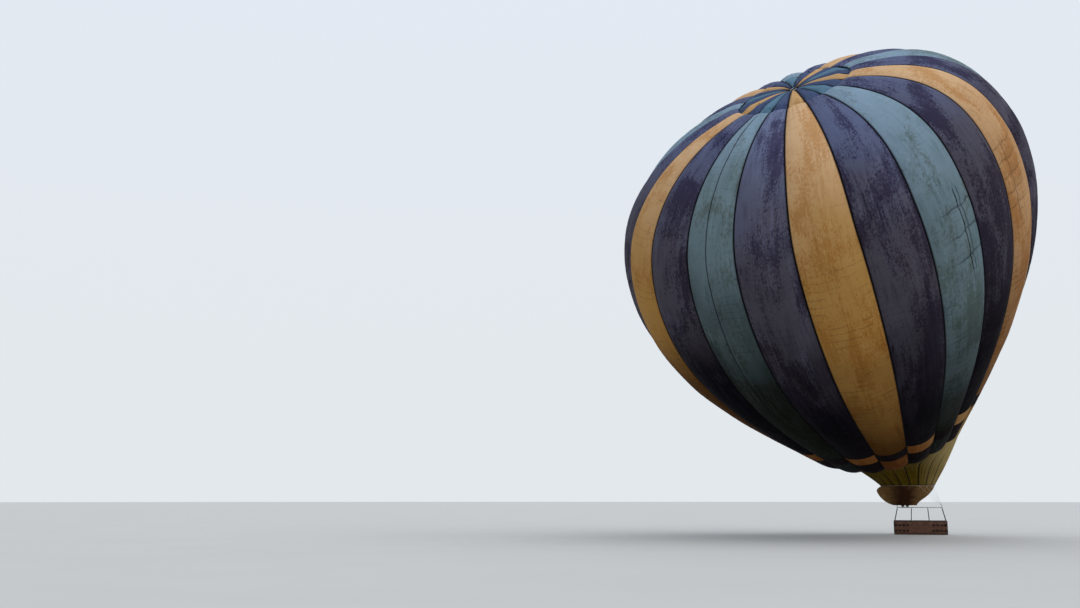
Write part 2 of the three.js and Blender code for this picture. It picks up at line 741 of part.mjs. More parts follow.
function addRim() {
  const low = BASKET.height - RIM.height;
  const high = BASKET.height;
  const w = RIM.width;
  const crossMiddle = (PILOT_BAY + WALL) / 2;
  const parts = [
    boxSolid([-halfLength, -halfWidth, low], [halfLength, -halfWidth + w, high]),
    boxSolid([-halfLength, halfWidth - w, low], [halfLength, halfWidth, high]),
  ];
  [-1, 1].forEach((side) => {
    const end = side * (halfLength - w / 2);
    const cross = side * crossMiddle;
    parts.push(boxSolid([end - w / 2, -halfWidth, low], [end + w / 2, halfWidth, high]));
    parts.push(boxSolid(
      [cross - w / 2, -halfWidth + JOIN_INTO, low], [cross + w / 2, halfWidth - JOIN_INTO, high],
    ));
    parts.push(boxSolid(
      [Math.min(cross, end), -w / 2, low], [Math.max(cross, end), w / 2, high],
    ));
  });
  addSolid('basket_rim', join(parts), cloth('leather'));
}

addFloor();
addLongWall('front_wall', -1);
addLongWall('back_wall', 1);
addEndWall('left_wall', -1);
addEndWall('right_wall', 1);
addPartition('left_partition', -1);
addPartition('right_partition', 1);
addRim();

// Fuel tanks: four upright cylinders in the pilot's bay

function addTanks() {
  const profile = [
    [0, 0], [TANK.footRadius, 0], [TANK.radius, TANK.footTop], [TANK.radius, TANK.shoulderLow],
    [TANK.shoulderRadius, TANK.shoulderHigh], [TANK.neckRadius, TANK.neckLow],
    [TANK.topRadius, TANK.height], [0, TANK.height],
  ];
  [[-1, -1], [1, -1], [-1, 1], [1, 1]].forEach(([sideX, sideY], index) => {
    const tank = latheSolid(profile, LATHE_SIDES, sideX * TANK.x, sideY * TANK.y, wallBottom);
    addSolid(`fuel_tank_${index + 1}`, tank, metal('tank'));
  });
}

addTanks();

export default model;
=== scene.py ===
"""Hot air balloon with a sixteen-place wicker basket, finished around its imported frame.

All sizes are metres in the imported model's frame, whose origin is the centre of lift.
"""
import sys

import json
import logging
import math
from collections.abc import Callable, Iterator, Sequence
from contextlib import contextmanager
from dataclasses import dataclass
from enum import Enum

import bmesh
import bpy
import numpy as np
from mathutils import Matrix, Vector, noise

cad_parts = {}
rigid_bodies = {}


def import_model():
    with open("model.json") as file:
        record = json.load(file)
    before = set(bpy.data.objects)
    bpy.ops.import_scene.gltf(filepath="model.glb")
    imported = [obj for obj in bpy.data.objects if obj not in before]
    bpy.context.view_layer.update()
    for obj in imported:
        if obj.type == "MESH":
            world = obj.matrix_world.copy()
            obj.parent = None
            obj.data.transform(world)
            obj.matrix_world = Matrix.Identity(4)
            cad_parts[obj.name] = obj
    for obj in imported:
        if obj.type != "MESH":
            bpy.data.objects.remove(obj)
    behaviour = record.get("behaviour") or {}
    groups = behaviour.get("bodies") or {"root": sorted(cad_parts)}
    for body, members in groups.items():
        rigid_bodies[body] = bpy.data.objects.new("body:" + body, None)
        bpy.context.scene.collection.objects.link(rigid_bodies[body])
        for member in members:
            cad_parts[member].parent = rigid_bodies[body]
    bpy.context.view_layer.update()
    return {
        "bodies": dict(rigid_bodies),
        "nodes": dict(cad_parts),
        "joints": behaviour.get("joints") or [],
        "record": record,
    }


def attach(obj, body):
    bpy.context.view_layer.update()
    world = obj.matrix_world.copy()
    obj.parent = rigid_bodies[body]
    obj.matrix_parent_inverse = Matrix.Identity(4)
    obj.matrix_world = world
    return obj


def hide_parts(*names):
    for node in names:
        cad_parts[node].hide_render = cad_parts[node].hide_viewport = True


LOG = logging.getLogger("balloon")
FLAT_MAP = "cloth"
SEAM_FIELD = "seam_distance"
WEAR_AND_SHADE_FIELD = "wear_and_shade"
WEAVE_FIELD = "weave"
FULL_TURN = 2 * math.pi
QUARTER_TURN = math.pi / 2
CORNERS = ((-1, -1), (1, -1), (-1, 1), (1, 1))
WEAVER_HEIGHT = 0.024

Array = np.ndarray
Material = bpy.types.Material
Mesh = bpy.types.Mesh
Node = bpy.types.Node
Piece = bpy.types.Object
Shape = bmesh.types.BMesh
Socket = bpy.types.NodeSocket
Tree = bpy.types.NodeTree
Colour = tuple[float, float, float, float]
Placer = Callable[[Array, Array], Array]
Point = tuple[float, float, float]


class Body(Enum):
    """The bodies that a piece can ride on."""

    BALLOON = "balloon"
    VALVE = "crown_valve"
    BURNERS = "burner_block"


def paint(code: str) -> Colour:
    """Turns a web colour of six hexadecimal digits into linear light."""
    parts = [int(code[i:i + 2], 16) / 255 for i in (0, 2, 4)]
    linear = [c / 12.92 if c <= 0.04045 else ((c + 0.055) / 1.055) ** 2.4 for c in parts]
    return (*linear, 1.0)


def smoothstep(value: Array, low: float, high: float) -> Array:
    """Rises smoothly from 0 at low to 1 at high."""
    share = np.clip((np.asarray(value, float) - low) / (high - low), 0.0, 1.0)
    return share * share * (3 - 2 * share)


def unit(vectors: Array) -> Array:
    """Scales each vector to a length of one."""
    return vectors / np.maximum(np.linalg.norm(vectors, axis=-1, keepdims=True), 1e-12)


def roughen(points: Array, seed: float) -> Array:
    """Gives smooth noise, about -1 to 1, at each point."""
    shift = Vector((seed, -seed, 0.5 * seed))
    return np.array([noise.noise(Vector(p) + shift) for p in points])


def angles(steps: int) -> Array:
    """Gives even angles once round, without a repeated end."""
    return np.linspace(0, FULL_TURN, steps + 1)[:-1]


def circle(turns: Array, radius: float = 1.0, height: object = 0.0) -> Array:
    """Gives the points of a level circle, or of a helix if the heights differ."""
    return np.stack([radius * np.cos(turns), radius * np.sin(turns), 0 * turns + height], axis=-1)


def eased_shares(columns: int) -> Array:
    """Gives places across a gore, closer together beside its seams."""
    even = np.linspace(0, 1, columns + 1)
    return 0.5 * even + 0.5 * (0.5 - 0.5 * np.cos(np.pi * even))


# Meshes


def read(items: Sequence[object], field: str, width: int = 3, kind: type = float) -> Array:
    """Reads a field of every item, such as the places of a mesh's points."""
    values = np.empty(len(items) * width, kind)
    items.foreach_get(field, values)
    return values.reshape(-1, width) if width > 1 else values


def to_mesh(shape: Shape, name: str) -> Mesh:
    """Turns a shape into a mesh and frees it."""
    mesh = bpy.data.meshes.new(name)
    shape.to_mesh(mesh)
    shape.free()
    return mesh


def to_shape(mesh: Mesh) -> Shape:
    """Turns a mesh into a shape and removes it."""
    shape = bmesh.new()
    shape.from_mesh(mesh)
    bpy.data.meshes.remove(mesh)
    return shape


@contextmanager
def opened(mesh: Mesh) -> Iterator[Shape]:
    """Opens a mesh for operators and writes it back."""
    shape = bmesh.new()
    shape.from_mesh(mesh)
    yield shape
    shape.to_mesh(mesh)
    shape.free()


def surface_mesh(name: str, columns: Array, rows: Array, place: Placer, flat: Placer | None = None,
                 fields: dict[str, Placer] | None = None, weld: float = 0.0) -> Mesh:
    """Makes a grid and moves its points onto a surface.

    Args:
        name: Name of the mesh.
        columns: Parameter across, one value for each column of points.
        rows: Parameter along, one value for each row of points.
        place: Gives the points for arrays of both parameters.
        flat: Gives each point's place on the flat cut, in metres.
        fields: Gives a value at each point for every named field.
        weld: Points nearer than this are merged, which closes a round surface.

    Returns:
        The mesh, with its flat map and its fields where these are given.
    """
    grid = bmesh.new()
    bmesh.ops.create_grid(grid, x_segments=len(columns) - 1, y_segments=len(rows) - 1, size=1)
    mesh = to_mesh(grid, name)
    share = (read(mesh.vertices, "co") + 1) / 2
    across = columns[np.rint(share[:, 0] * (len(columns) - 1)).astype(int)]
    along = rows[np.rint(share[:, 1] * (len(rows) - 1)).astype(int)]
    mesh.vertices.foreach_set("co", place(across, along).ravel())
    if flat is not None:
        corners = read(mesh.loops, "vertex_index", 1, int)
        layer = mesh.uv_layers.new(name=FLAT_MAP)
        layer.data.foreach_set("uv", flat(across, along)[corners].ravel())
    for label, values in (fields or {}).items():
        attribute = mesh.attributes.new(label, "FLOAT", "POINT")
        attribute.data.foreach_set("value", values(across, along).astype(np.float32))
    if weld:
        with opened(mesh) as shape:
            bmesh.ops.remove_doubles(shape, verts=shape.verts, dist=weld)
    mesh.update()
    return mesh


def cut_size(mesh: Mesh, columns: int, rows: int) -> tuple[float, float, float]:
    """Gives the greatest width, the mean length and the area of a grid without thickness.

    Args:
        mesh: The grid.
        columns: How many points it has across.
        rows: How many points it has along.
    """
    points = read(mesh.vertices, "co").reshape(rows, columns, 3)
    widths = np.linalg.norm(np.diff(points, axis=1), axis=2).sum(axis=1)
    lengths = np.linalg.norm(np.diff(points, axis=0), axis=2).sum(axis=0)
    return float(widths.max()), float(lengths.mean()), cloth_area(mesh)


def cloth_area(mesh: Mesh) -> float:
    """Gives the area of a mesh that has no thickness yet."""
    return sum(face.area for face in mesh.polygons)


def place_object(name: str, data: bpy.types.ID) -> Piece:
    """Puts an object with that data into the scene."""
    made = bpy.data.objects.new(name, data)
    bpy.context.scene.collection.objects.link(made)
    return made


def add_object(mesh: Mesh, finishes: Sequence[Material], replaces: Sequence[str] = (),
               body: Body = Body.BALLOON) -> Piece:
    """Puts a finished mesh into the scene as one piece of the balloon.

    Args:
        mesh: The mesh, in place.
        finishes: Materials in the order of the mesh's slots.
        replaces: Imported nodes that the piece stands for.
        body: The body that it rides on.

    Returns:
        The piece.
    """
    piece = place_object(mesh.name, mesh)
    mesh.shade_smooth()
    for finish in finishes:
        mesh.materials.append(finish)
    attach(piece, body.value)
    if replaces:
        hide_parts(*replaces)
    LOG.info("%s: %d faces", piece.name, len(mesh.polygons))
    return piece


def give_thickness(piece: Piece, thickness: float, offset: float = -1) -> None:
    """Makes an open sheet a closed one, grown inwards from its outer face."""
    solid = piece.modifiers.new("thickness", "SOLIDIFY")
    solid.thickness = thickness
    solid.offset = offset


class Workpiece:
    """A mesh that grows from plain operator-made shapes, each with a material slot."""

    def __init__(self) -> None:
        """Starts an empty piece."""
        self.mesh = bmesh.new()

    def take(self, part: Shape, slot: int = 0) -> None:
        """Adds a shape with a material slot to the piece and frees it."""
        for face in part.faces:
            face.material_index = slot
        carrier = to_mesh(part, "carrier")
        self.mesh.from_mesh(carrier)
        bpy.data.meshes.remove(carrier)

    def take_tube(self, mesh: Mesh, slot: int = 0) -> None:
        """Adds a welded tube, with its open ends closed."""
        part = to_shape(mesh)
        bmesh.ops.holes_fill(part, edges=[e for e in part.edges if e.is_boundary], sides=0)
        bmesh.ops.recalc_face_normals(part, faces=part.faces)
        self.take(part, slot)

    def rod(self, start: Sequence[float], end: Sequence[float], radius: float,
            sides: int = 16, slot: int = 0) -> None:
        """Adds a round rod between two points."""
        way = Vector(end) - Vector(start)
        turn = way.to_track_quat("Z", "Y").to_matrix().to_4x4()
        middle = Matrix.Translation((Vector(start) + Vector(end)) / 2)
        part = bmesh.new()
        bmesh.ops.create_cone(part, cap_ends=True, segments=sides, radius1=radius, radius2=radius,
                              depth=way.length, matrix=middle @ turn)
        self.take(part, slot)

    def block(self, low: Sequence[float], high: Sequence[float], bevel: float, slot: int = 0) -> None:
        """Adds a box with rounded edges."""
        low, high = Vector(low), Vector(high)
        part = bmesh.new()
        bmesh.ops.create_cube(part, size=1)
        bmesh.ops.scale(part, vec=high - low, verts=part.verts)
        bmesh.ops.translate(part, vec=(low + high) / 2, verts=part.verts)
        bmesh.ops.bevel(part, geom=part.edges, offset=bevel, affect="EDGES", segments=2,
                        profile=0.5, material=-1)
        self.take(part, slot)

    def lathe(self, profile: Sequence[tuple[float, float]], foot: Sequence[float],
              sides: int = 32, slot: int = 0) -> None:
        """Adds a body turned about an upright axis.

        Args:
            profile: Radius and height pairs, in order along the outline.
            foot: Where radius zero and height zero lie.
            sides: Steps round the axis.
            slot: Material slot.
        """
        part = bmesh.new()
        line = [part.verts.new((radius, 0, height)) for radius, height in profile]
        for first, second in zip(line, line[1:]):
            part.edges.new((first, second))
        bmesh.ops.spin(part, geom=part.verts[:] + part.edges[:], axis=(0, 0, 1), cent=(0, 0, 0),
                       angle=FULL_TURN, steps=sides, use_merge=True)
        bmesh.ops.remove_doubles(part, verts=part.verts, dist=1e-5)
        bmesh.ops.recalc_face_normals(part, faces=part.faces)
        bmesh.ops.translate(part, vec=Vector(foot), verts=part.verts)
        self.take(part, slot)

    def tube(self, path: Array, radius: float, sides: int = 8, slot: int = 0,
             closed: bool = False, flat_side: float = 1.0) -> None:
        """Adds a tube that follows a path.

        Args:
            path: Points of the centre line.
            radius: Radius of the tube.
            sides: Sides of its section.
            slot: Material slot.
            closed: Whether the path's end joins its start.
            flat_side: Share of the radius that is left along the section's second axis.
        """
        path = np.asarray(path, float)
        if closed:
            path = np.vstack([path, path[:1]])
        across, second = section_frames(path, closed)

        def place(turn: Array, step: Array) -> Array:
            index = step.astype(int)
            sideways = across[index] * (radius * np.cos(turn))[:, None]
            return path[index] + sideways + second[index] * (flat_side * radius * np.sin(turn))[:, None]

        self.take_tube(surface_mesh("tube", np.linspace(0, FULL_TURN, sides + 1), np.arange(len(path)),
                                    place, weld=1e-6), slot)

    def finish(self, name: str, slot: str, finishes: Sequence[Material], replaces: Sequence[str] = (),
               body: Body = Body.BALLOON, crease: float = 40.0) -> Piece:
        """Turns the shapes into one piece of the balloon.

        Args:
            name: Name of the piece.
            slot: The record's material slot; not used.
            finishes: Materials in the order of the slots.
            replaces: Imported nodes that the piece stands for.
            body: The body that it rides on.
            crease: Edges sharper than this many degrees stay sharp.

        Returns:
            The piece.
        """
        mesh = to_mesh(self.mesh, name)
        piece = add_object(mesh, finishes, replaces, body)
        mesh.set_sharp_from_angle(angle=math.radians(crease))
        return piece


def section_frames(path: Array, closed: bool) -> tuple[Array, Array]:
    """Gives two unit vectors across a path at each of its points, without twist.

    Args:
        path: Points of the centre line; a closed one repeats its first point.
        closed: Whether the path is a loop, so that the frames have to meet.

    Returns:
        The first and the second vector of every section.
    """
    ahead = unit(np.gradient(path, axis=0))
    if closed:
        ahead[0] = ahead[-1] = unit(path[1] - path[-2])
    start = np.cross(ahead[0], (0, 0, 1.0))
    if np.linalg.norm(start) < 0.1:
        start = np.cross(ahead[0], (0, 1.0, 0))
    across = [unit(start)]
    for way in ahead[1:]:
        across.append(unit(across[-1] - way * (across[-1] @ way)))
    across = np.array(across)
    if closed:
        second = np.cross(ahead, across)
        slip = math.atan2(across[-1] @ second[0], across[-1] @ across[0])
        undo = -slip * np.linspace(0, 1, len(path))[:, None]
        across = across * np.cos(undo) + second * np.sin(undo)
    return across, np.cross(ahead, across)


# Node trees


class Graph:
    """Adds nodes to a node tree and links them."""

    def __init__(self, tree: Tree) -> None:
        """Keeps the tree that the nodes go into."""
        self.tree = tree

    def node(self, kind: str, **settings: object) -> Node:
        """Adds a node and sets its properties."""
        made = self.tree.nodes.new(kind)
        for key, value in settings.items():
            setattr(made, key, value)
        return made

    def feed(self, socket: Socket, value: object) -> None:
        """Links a socket to another one, or sets its plain value or its web colour."""
        if isinstance(value, Socket):
            self.tree.links.new(value, socket)
        else:
            socket.default_value = paint(value) if isinstance(value, str) else value

    def fill(self, made: Node, values: dict[str, object] | Sequence[object]) -> Node:
        """Feeds a node's inputs, by their names or in their order."""
        for key, value in values.items() if isinstance(values, dict) else enumerate(values):
            self.feed(made.inputs[key], value)
        return made

    def calc(self, operation: str, *values: object, clamp: bool = False) -> Socket:
        """Adds a Math node and returns its result."""
        made = self.node("ShaderNodeMath", operation=operation, use_clamp=clamp)
        return self.fill(made, values).outputs[0]

    def times(self, first: object, second: object) -> Socket:
        """Multiplies two values."""
        return self.calc("MULTIPLY", first, second)

    def times_plus(self, first: object, second: object, third: object) -> Socket:
        """Multiplies two values and adds a third one."""
        return self.calc("MULTIPLY_ADD", first, second, third)

    def minus(self, first: object, second: object) -> Socket:
        """Subtracts the second value from the first."""
        return self.calc("SUBTRACT", first, second)

    def off_whole(self, value: Socket) -> Socket:
        """Gives how far a value is from the nearest whole number."""
        return self.calc("ABSOLUTE", self.minus(value, self.calc("ROUND", value)))

    def most(self, values: Sequence[Socket]) -> Socket:
        """Gives the greatest of the values."""
        top = values[0]
        for value in values[1:]:
            top = self.calc("MAXIMUM", top, value)
        return top

    def ramp(self, value: object, low: float, high: float, start: float = 0.0, end: float = 1.0) -> Socket:
        """Maps a value smoothly from low..high to start..end."""
        made = self.node("ShaderNodeMapRange", interpolation_type="SMOOTHSTEP")
        return self.fill(made, (value, low, high, start, end)).outputs[0]

    def mix(self, share: object, first: object, second: object, blend: str = "MIX") -> Socket:
        """Mixes two colours and returns the result."""
        made = self.node("ShaderNodeMix", data_type="RGBA", blend_type=blend)
        return self.fill(made, {0: share, 6: first, 7: second}).outputs[2]

    def noise(self, vector: Socket, scale: object, detail: float = 3.0, rough: float = 0.5,
              warp: float = 0.0) -> Socket:
        """Adds a Noise Texture and returns its value."""
        values = {"Vector": vector, "Scale": scale, "Detail": detail, "Roughness": rough, "Distortion": warp}
        return self.fill(self.node("ShaderNodeTexNoise"), values).outputs["Fac"]

    def vector(self, x: object, y: object, z: object = 0.0) -> Socket:
        """Joins three values into a vector."""
        return self.fill(self.node("ShaderNodeCombineXYZ"), (x, y, z)).outputs[0]

    def split(self, vector: Socket) -> list[Socket]:
        """Splits a vector into its three values."""
        return self.fill(self.node("ShaderNodeSeparateXYZ"), (vector,)).outputs[:]

    def bump(self, height: Socket, strength: float, distance: float) -> Socket:
        """Turns a height into a normal."""
        values = {"Height": height, "Strength": strength, "Distance": distance}
        return self.fill(self.node("ShaderNodeBump"), values).outputs["Normal"]

    def solid(self) -> Socket:
        """Gives the place in space."""
        return self.node("ShaderNodeTexCoord").outputs["Object"]

    def flat(self) -> Socket:
        """Gives the place on the flat cut."""
        return self.node("ShaderNodeUVMap", uv_map=FLAT_MAP).outputs[0]

    def field(self, name: str) -> Socket:
        """Gives a field of the mesh."""
        return self.node("ShaderNodeAttribute", attribute_name=name).outputs["Fac"]

    def group(self, tree: Tree, **values: object) -> Socket:
        """Places a node group, feeds its inputs and returns its result."""
        made = self.node("ShaderNodeGroup", node_tree=tree)
        return self.fill(made, {key.capitalize(): item for key, item in values.items()}).outputs[0]


def new_group(name: str, output: str, *inputs: str) -> tuple[Graph, Socket, list[Socket]]:
    """Makes an empty shader node group with one output.

    Args:
        name: Name of the group.
        output: Name of its output.
        inputs: Names of its inputs; Place is a vector and the others are numbers.

    Returns:
        The graph of the group, its output's socket and its inputs' sockets.
    """
    tree = bpy.data.node_groups.new(name, "ShaderNodeTree")
    for label in inputs:
        kind = "NodeSocketVector" if label == "Place" else "NodeSocketFloat"
        tree.interface.new_socket(label, in_out="INPUT", socket_type=kind)
    tree.interface.new_socket(output, in_out="OUTPUT", socket_type="NodeSocketFloat")
    graph = Graph(tree)
    taken, given = graph.node("NodeGroupInput"), graph.node("NodeGroupOutput")
    return graph, given.inputs[0], taken.outputs[:len(inputs)]


class Effects:
    """The node groups that several finishes share."""

    def __init__(self) -> None:
        """Builds every group once."""
        self.panels = self.make_panels()
        self.flakes = self.make_flakes()
        self.streaks = self.make_streaks()
        self.wrinkles = self.make_wrinkles()
        self.grime = self.make_grime()

    @staticmethod
    def make_panels() -> Tree:
        """Lines where the panels of a gore are sewn together, across its length."""
        graph, mask, (along, pitch, width) = new_group("panel_seams", "Mask", "Along", "Pitch", "Width")
        metres = graph.times(graph.off_whole(graph.calc("DIVIDE", along, pitch)), pitch)
        graph.feed(mask, graph.calc("SUBTRACT", 1.0, graph.calc("DIVIDE", metres, width), clamp=True))
        return graph.tree

    @staticmethod
    def make_flakes() -> Tree:
        """Small worn flakes that gather in columns and patches, drawn out along the gore."""
        graph, mask, (place, amount, fine) = new_group("worn_flakes", "Mask", "Place", "Amount", "Fineness")
        x, y, z = graph.split(place)
        regions = graph.noise(place, 0.36, 3, 0.55, 0.6)
        columns = graph.noise(graph.vector(graph.times(x, 3.4), graph.times(y, 0.3), z), 1.0, 3, 0.6, 0.3)
        lifted = graph.times_plus(regions, 1.25, graph.noise(place, fine, 4.0, 0.7, 0.35))
        lifted = graph.times_plus(columns, 0.5, lifted)
        over = graph.minus(graph.calc("ADD", lifted, amount), 1.375)
        graph.feed(mask, graph.calc("MULTIPLY_ADD", over, 5.0, 0.5, clamp=True))
        return graph.tree

    @staticmethod
    def make_streaks() -> Tree:
        """Long thin streaks where rain and dust have run down the cloth."""
        graph, mask, (place, width) = new_group("streaks", "Mask", "Place", "Width")
        x, y, z = graph.split(place)
        drawn = graph.vector(graph.calc("DIVIDE", x, width), graph.times(y, 0.4), z)
        thin = graph.ramp(graph.noise(drawn, 1.0, 5, 0.66, 0.3), 0.38, 0.72)
        here = graph.ramp(graph.noise(place, 0.35, 2, 0.5, 0.4), 0.4, 0.62)
        graph.feed(mask, graph.times(thin, here))
        return graph.tree

    @staticmethod
    def make_wrinkles() -> Tree:
        """Small gathers across the cloth, strongest beside the load tapes."""
        graph, height, (place, seam, reach) = new_group("gathers", "Height", "Place", "Seam", "Reach")
        x, y, z = graph.split(place)
        gathers = graph.noise(graph.vector(graph.times(x, 0.7), graph.times(y, 3.2), z), 1.0, 3, 0.5, 0.4)
        near = graph.calc("SUBTRACT", 1.0, graph.calc("DIVIDE", seam, reach), clamp=True)
        soft = graph.noise(place, 1.7, 4, 0.55, 0.3)
        graph.feed(height, graph.times_plus(gathers, near, graph.times(soft, 0.45)))
        return graph.tree

    @staticmethod
    def make_grime() -> Tree:
        """Blotches of dust and dirt for hard pieces and basket work."""
        graph, mask, (place, scale, amount) = new_group("grime", "Mask", "Place", "Scale", "Amount")
        blotch = graph.noise(place, scale, 6.0, 0.65)
        graph.feed(mask, graph.ramp(graph.calc("ADD", blotch, amount), 0.8, 1.15))
        return graph.tree


def new_material(name: str) -> tuple[Material, Graph, Node]:
    """Makes a material and gives it with its graph and its Principled shader."""
    material = bpy.data.materials.new(name)
    material.use_nodes = True
    material.node_tree.nodes.clear()
    graph = Graph(material.node_tree)
    shader = graph.node("ShaderNodeBsdfPrincipled")
    graph.fill(graph.node("ShaderNodeOutputMaterial"), {"Surface": shader.outputs["BSDF"]})
    return material, graph, shader


@dataclass(frozen=True)
class Finish:
    """A named material; every kind says what feeds its shader."""

    name: str

    def build(self, effects: Effects) -> Material:
        """Makes the material."""
        material, graph, shader = new_material(self.name)
        graph.fill(shader, self.inputs(graph, effects))
        return material


@dataclass(frozen=True)
class ClothFinish(Finish):
    """Coated nylon of the envelope, aged in the sun.

    The colours are those at the crown, at the shoulder and at the mouth end; the darker tone towards
    the mouth is painted shade, partly dirt, and the pale bluish tone at the crown is partly faded cloth
    and partly a painted sky sheen. Flake is the colour of the worn patches, which on two gores stand
    for painted shade; stain that of the streaks; the colour of the scuffs is that of scuffed places and
    of a painted sheen, both growing towards the crown; and lit is painted light on the right side near
    the mouth, standing in for light that comes through. The slits are the places across the gore, in
    metres, of the lines that draw a vent in.
    """

    high: str
    middle: str
    low: str
    flake: str
    stain: str
    scuff_and_sheen: str
    flake_amount: float = -0.05
    flake_size: float = 8.0
    flake_share: float = 0.85
    wear_and_shade_share: float = 0.3
    stain_share: float = 0.35
    scuff_and_sheen_share: float = 0.3
    line_share: float = 0.2
    lit: str = ""
    lit_over: tuple[float, float] = (5.6, 8.4)
    middle_seam: bool = False
    slits: tuple[float, ...] = ()
    slit_span: tuple[float, float] = (26.4, 32.2)
    slit_share: float = 0.62
    rungs_over: tuple[float, float] = (-1.7, 0.2)
    rung_pitch: float = 1.76
    rung_start: float = 1.1
    seam_reach: float = 0.13
    low_end: float = 9.0
    turn_at: float = 29.0
    high_end: float = 43.0
    roughness: float = 0.72
    gloss: float = 0.03
    panel_pitch: float = 0.55
    line_colour: str = "120f15"
    tone_sway: float = 9.0
    scuff_and_sheen_over: tuple[float, float] = (12.0, 34.0)
    panels_fade_over: tuple[float, float] = (18.0, 36.0)

    def inputs(self, graph: Graph, effects: Effects) -> dict[str, object]:
        """Says what feeds the shader."""
        across, along, _ = graph.split(graph.flat())
        solid, seam = graph.solid(), graph.field(SEAM_FIELD)
        right = graph.split(solid)[0]
        around = graph.times(right, 0.6)
        place = graph.vector(across, graph.times(along, 0.55), around)
        # Tone along the gore: darker towards the mouth as painted shade, partly dirt; paler and bluer at the
        # crown, partly a painted sky sheen.
        painted_light_along = graph.times_plus(graph.minus(graph.noise(solid, 0.2, 2), 0.5), self.tone_sway, along)
        colour = graph.mix(graph.ramp(painted_light_along, self.low_end, self.turn_at), self.low, self.middle)
        colour = graph.mix(graph.ramp(painted_light_along, self.turn_at, self.high_end), colour, self.high)
        over = graph.minus(graph.field(WEAR_AND_SHADE_FIELD), 0.5)
        amount = graph.times_plus(over, self.wear_and_shade_share, self.flake_amount)
        flakes = graph.group(effects.flakes, place=place, amount=amount, fineness=self.flake_size)
        # Scuffed places together with a painted sheen, both growing towards the crown.
        rubbed_and_sheen = graph.group(effects.streaks, place=place, width=0.11)
        share = graph.times(rubbed_and_sheen, graph.ramp(along, *self.scuff_and_sheen_over, 0.0, self.scuff_and_sheen_share))
        colour = graph.mix(share, colour, self.scuff_and_sheen)
        streaks = graph.group(effects.streaks, place=graph.vector(across, along, around), width=0.3)
        colour = graph.mix(graph.times(streaks, self.stain_share), colour, self.stain, "MULTIPLY")
        # Worn flakes; on the lower part of the two left gores whose spots are raised, they are painted shade.
        colour = graph.mix(graph.times(flakes, self.flake_share), colour, self.flake, "MULTIPLY")
        # Painted light: the right side near the mouth is made lighter, standing in for light that comes
        # through the cloth.
        if self.lit:
            share = graph.times(graph.ramp(right, *self.lit_over), 0.75)
            colour = graph.mix(share, colour, self.lit)
        lines = self.add_lines(graph, effects, across, along, seam, solid)
        gathers = graph.group(effects.wrinkles, place=place, seam=seam, reach=1.1)
        return {"Base Color": graph.mix(lines, colour, self.line_colour),
                "Roughness": graph.times_plus(flakes, 0.14, self.roughness),
                "Specular IOR Level": self.gloss, "Normal": graph.bump(gathers, 0.75, 0.13)}

    def add_lines(self, graph: Graph, effects: Effects, across: Socket, along: Socket, seam: Socket,
                  solid: Socket) -> Socket:
        """Adds the dark lines of the panel seams and a middle seam, and painted shade with dirt beside the
        load tapes.

        Args:
            graph: The material's graph.
            effects: The shared node groups.
            across: Metres across the gore from its middle.
            along: Metres along the gore from the mouth.
            seam: Metres to the nearest seam.
            solid: The place in space.

        Returns:
            The share of the dark colour.
        """
        bend = graph.minus(graph.noise(solid, 1.1, 2), 0.5)
        bent = graph.times_plus(bend, 0.35, along)
        panels = graph.group(effects.panels, along=bent, pitch=self.panel_pitch, width=0.06)
        broken = graph.ramp(graph.noise(solid, 0.6, 3, 0.6), 0.46, 0.62)
        broken = graph.times(broken, graph.ramp(along, *self.panels_fade_over, 1.0, 0.35))
        # The second mark is painted shade, with dirt, in the valley beside each load tape.
        marks = [graph.times(graph.times(panels, broken), self.line_share),
                 graph.ramp(seam, 0.03, self.seam_reach, 0.75, 0.0)]
        if self.middle_seam:
            marks.append(graph.ramp(graph.calc("ABSOLUTE", across), 0.02, 0.07, 0.8, 0.0))
        if self.slits:
            marks.append(self.add_slits(graph, effects, across, along, bend))
        return graph.most(marks)

    def add_slits(self, graph: Graph, effects: Effects, across: Socket, along: Socket,
                  bend: Socket) -> Socket:
        """Adds the dark lines of a vent's slits and of the creases that run out from them, as painted shade.
        """
        low, high = self.slit_span
        here = graph.times(graph.ramp(along, low - 0.4, low + 0.4),
                           graph.ramp(along, high - 0.4, high + 0.4, 1.0, 0.0))
        waved = graph.times_plus(bend, 0.6, graph.minus(along, self.rung_start))
        rungs = graph.group(effects.panels, along=waved, pitch=self.rung_pitch, width=0.11)
        marks = [graph.times(rungs, graph.ramp(across, *self.rungs_over))]
        for slit in self.slits:
            off = graph.calc("ABSOLUTE", graph.minus(graph.times_plus(bend, 0.2, across), slit))
            marks.append(graph.ramp(off, 0.02, 0.09, 1.0, 0.0))
        return graph.times(graph.times(here, graph.most(marks)), self.slit_share)


@dataclass(frozen=True)
class PlainFinish(Finish):
    """A hard or padded surface with grime, a grain and worn high spots."""

    base: str
    dirt: str
    roughness: float = 0.6
    metallic: float = 0.0
    grain_scale: float = 60.0
    grain_depth: float = 0.002
    grime_scale: float = 3.0
    grime_amount: float = 0.35
    coat: float = 0.0
    gloss: float = 0.5
    stretch: Point = (1.0, 1.0, 1.0)

    def inputs(self, graph: Graph, effects: Effects) -> dict[str, object]:
        """Says what feeds the shader."""
        solid = graph.solid()
        scaled = graph.fill(graph.node("ShaderNodeMapping"), {"Vector": solid, "Scale": self.stretch})
        grime = graph.group(effects.grime, place=solid, scale=self.grime_scale, amount=self.grime_amount)
        grain = graph.noise(scaled.outputs[0], self.grain_scale, 4, 0.6)
        shade = graph.mix(graph.times(grain, 0.5), self.base, self.dirt)
        rough = graph.times_plus(grime, 0.2, self.roughness)
        return {"Base Color": graph.mix(grime, shade, self.dirt),
                "Roughness": graph.times_plus(grain, 0.1, rough),
                "Metallic": self.metallic, "Coat Weight": self.coat, "Specular IOR Level": self.gloss,
                "Normal": graph.bump(grain, 0.5, self.grain_depth)}


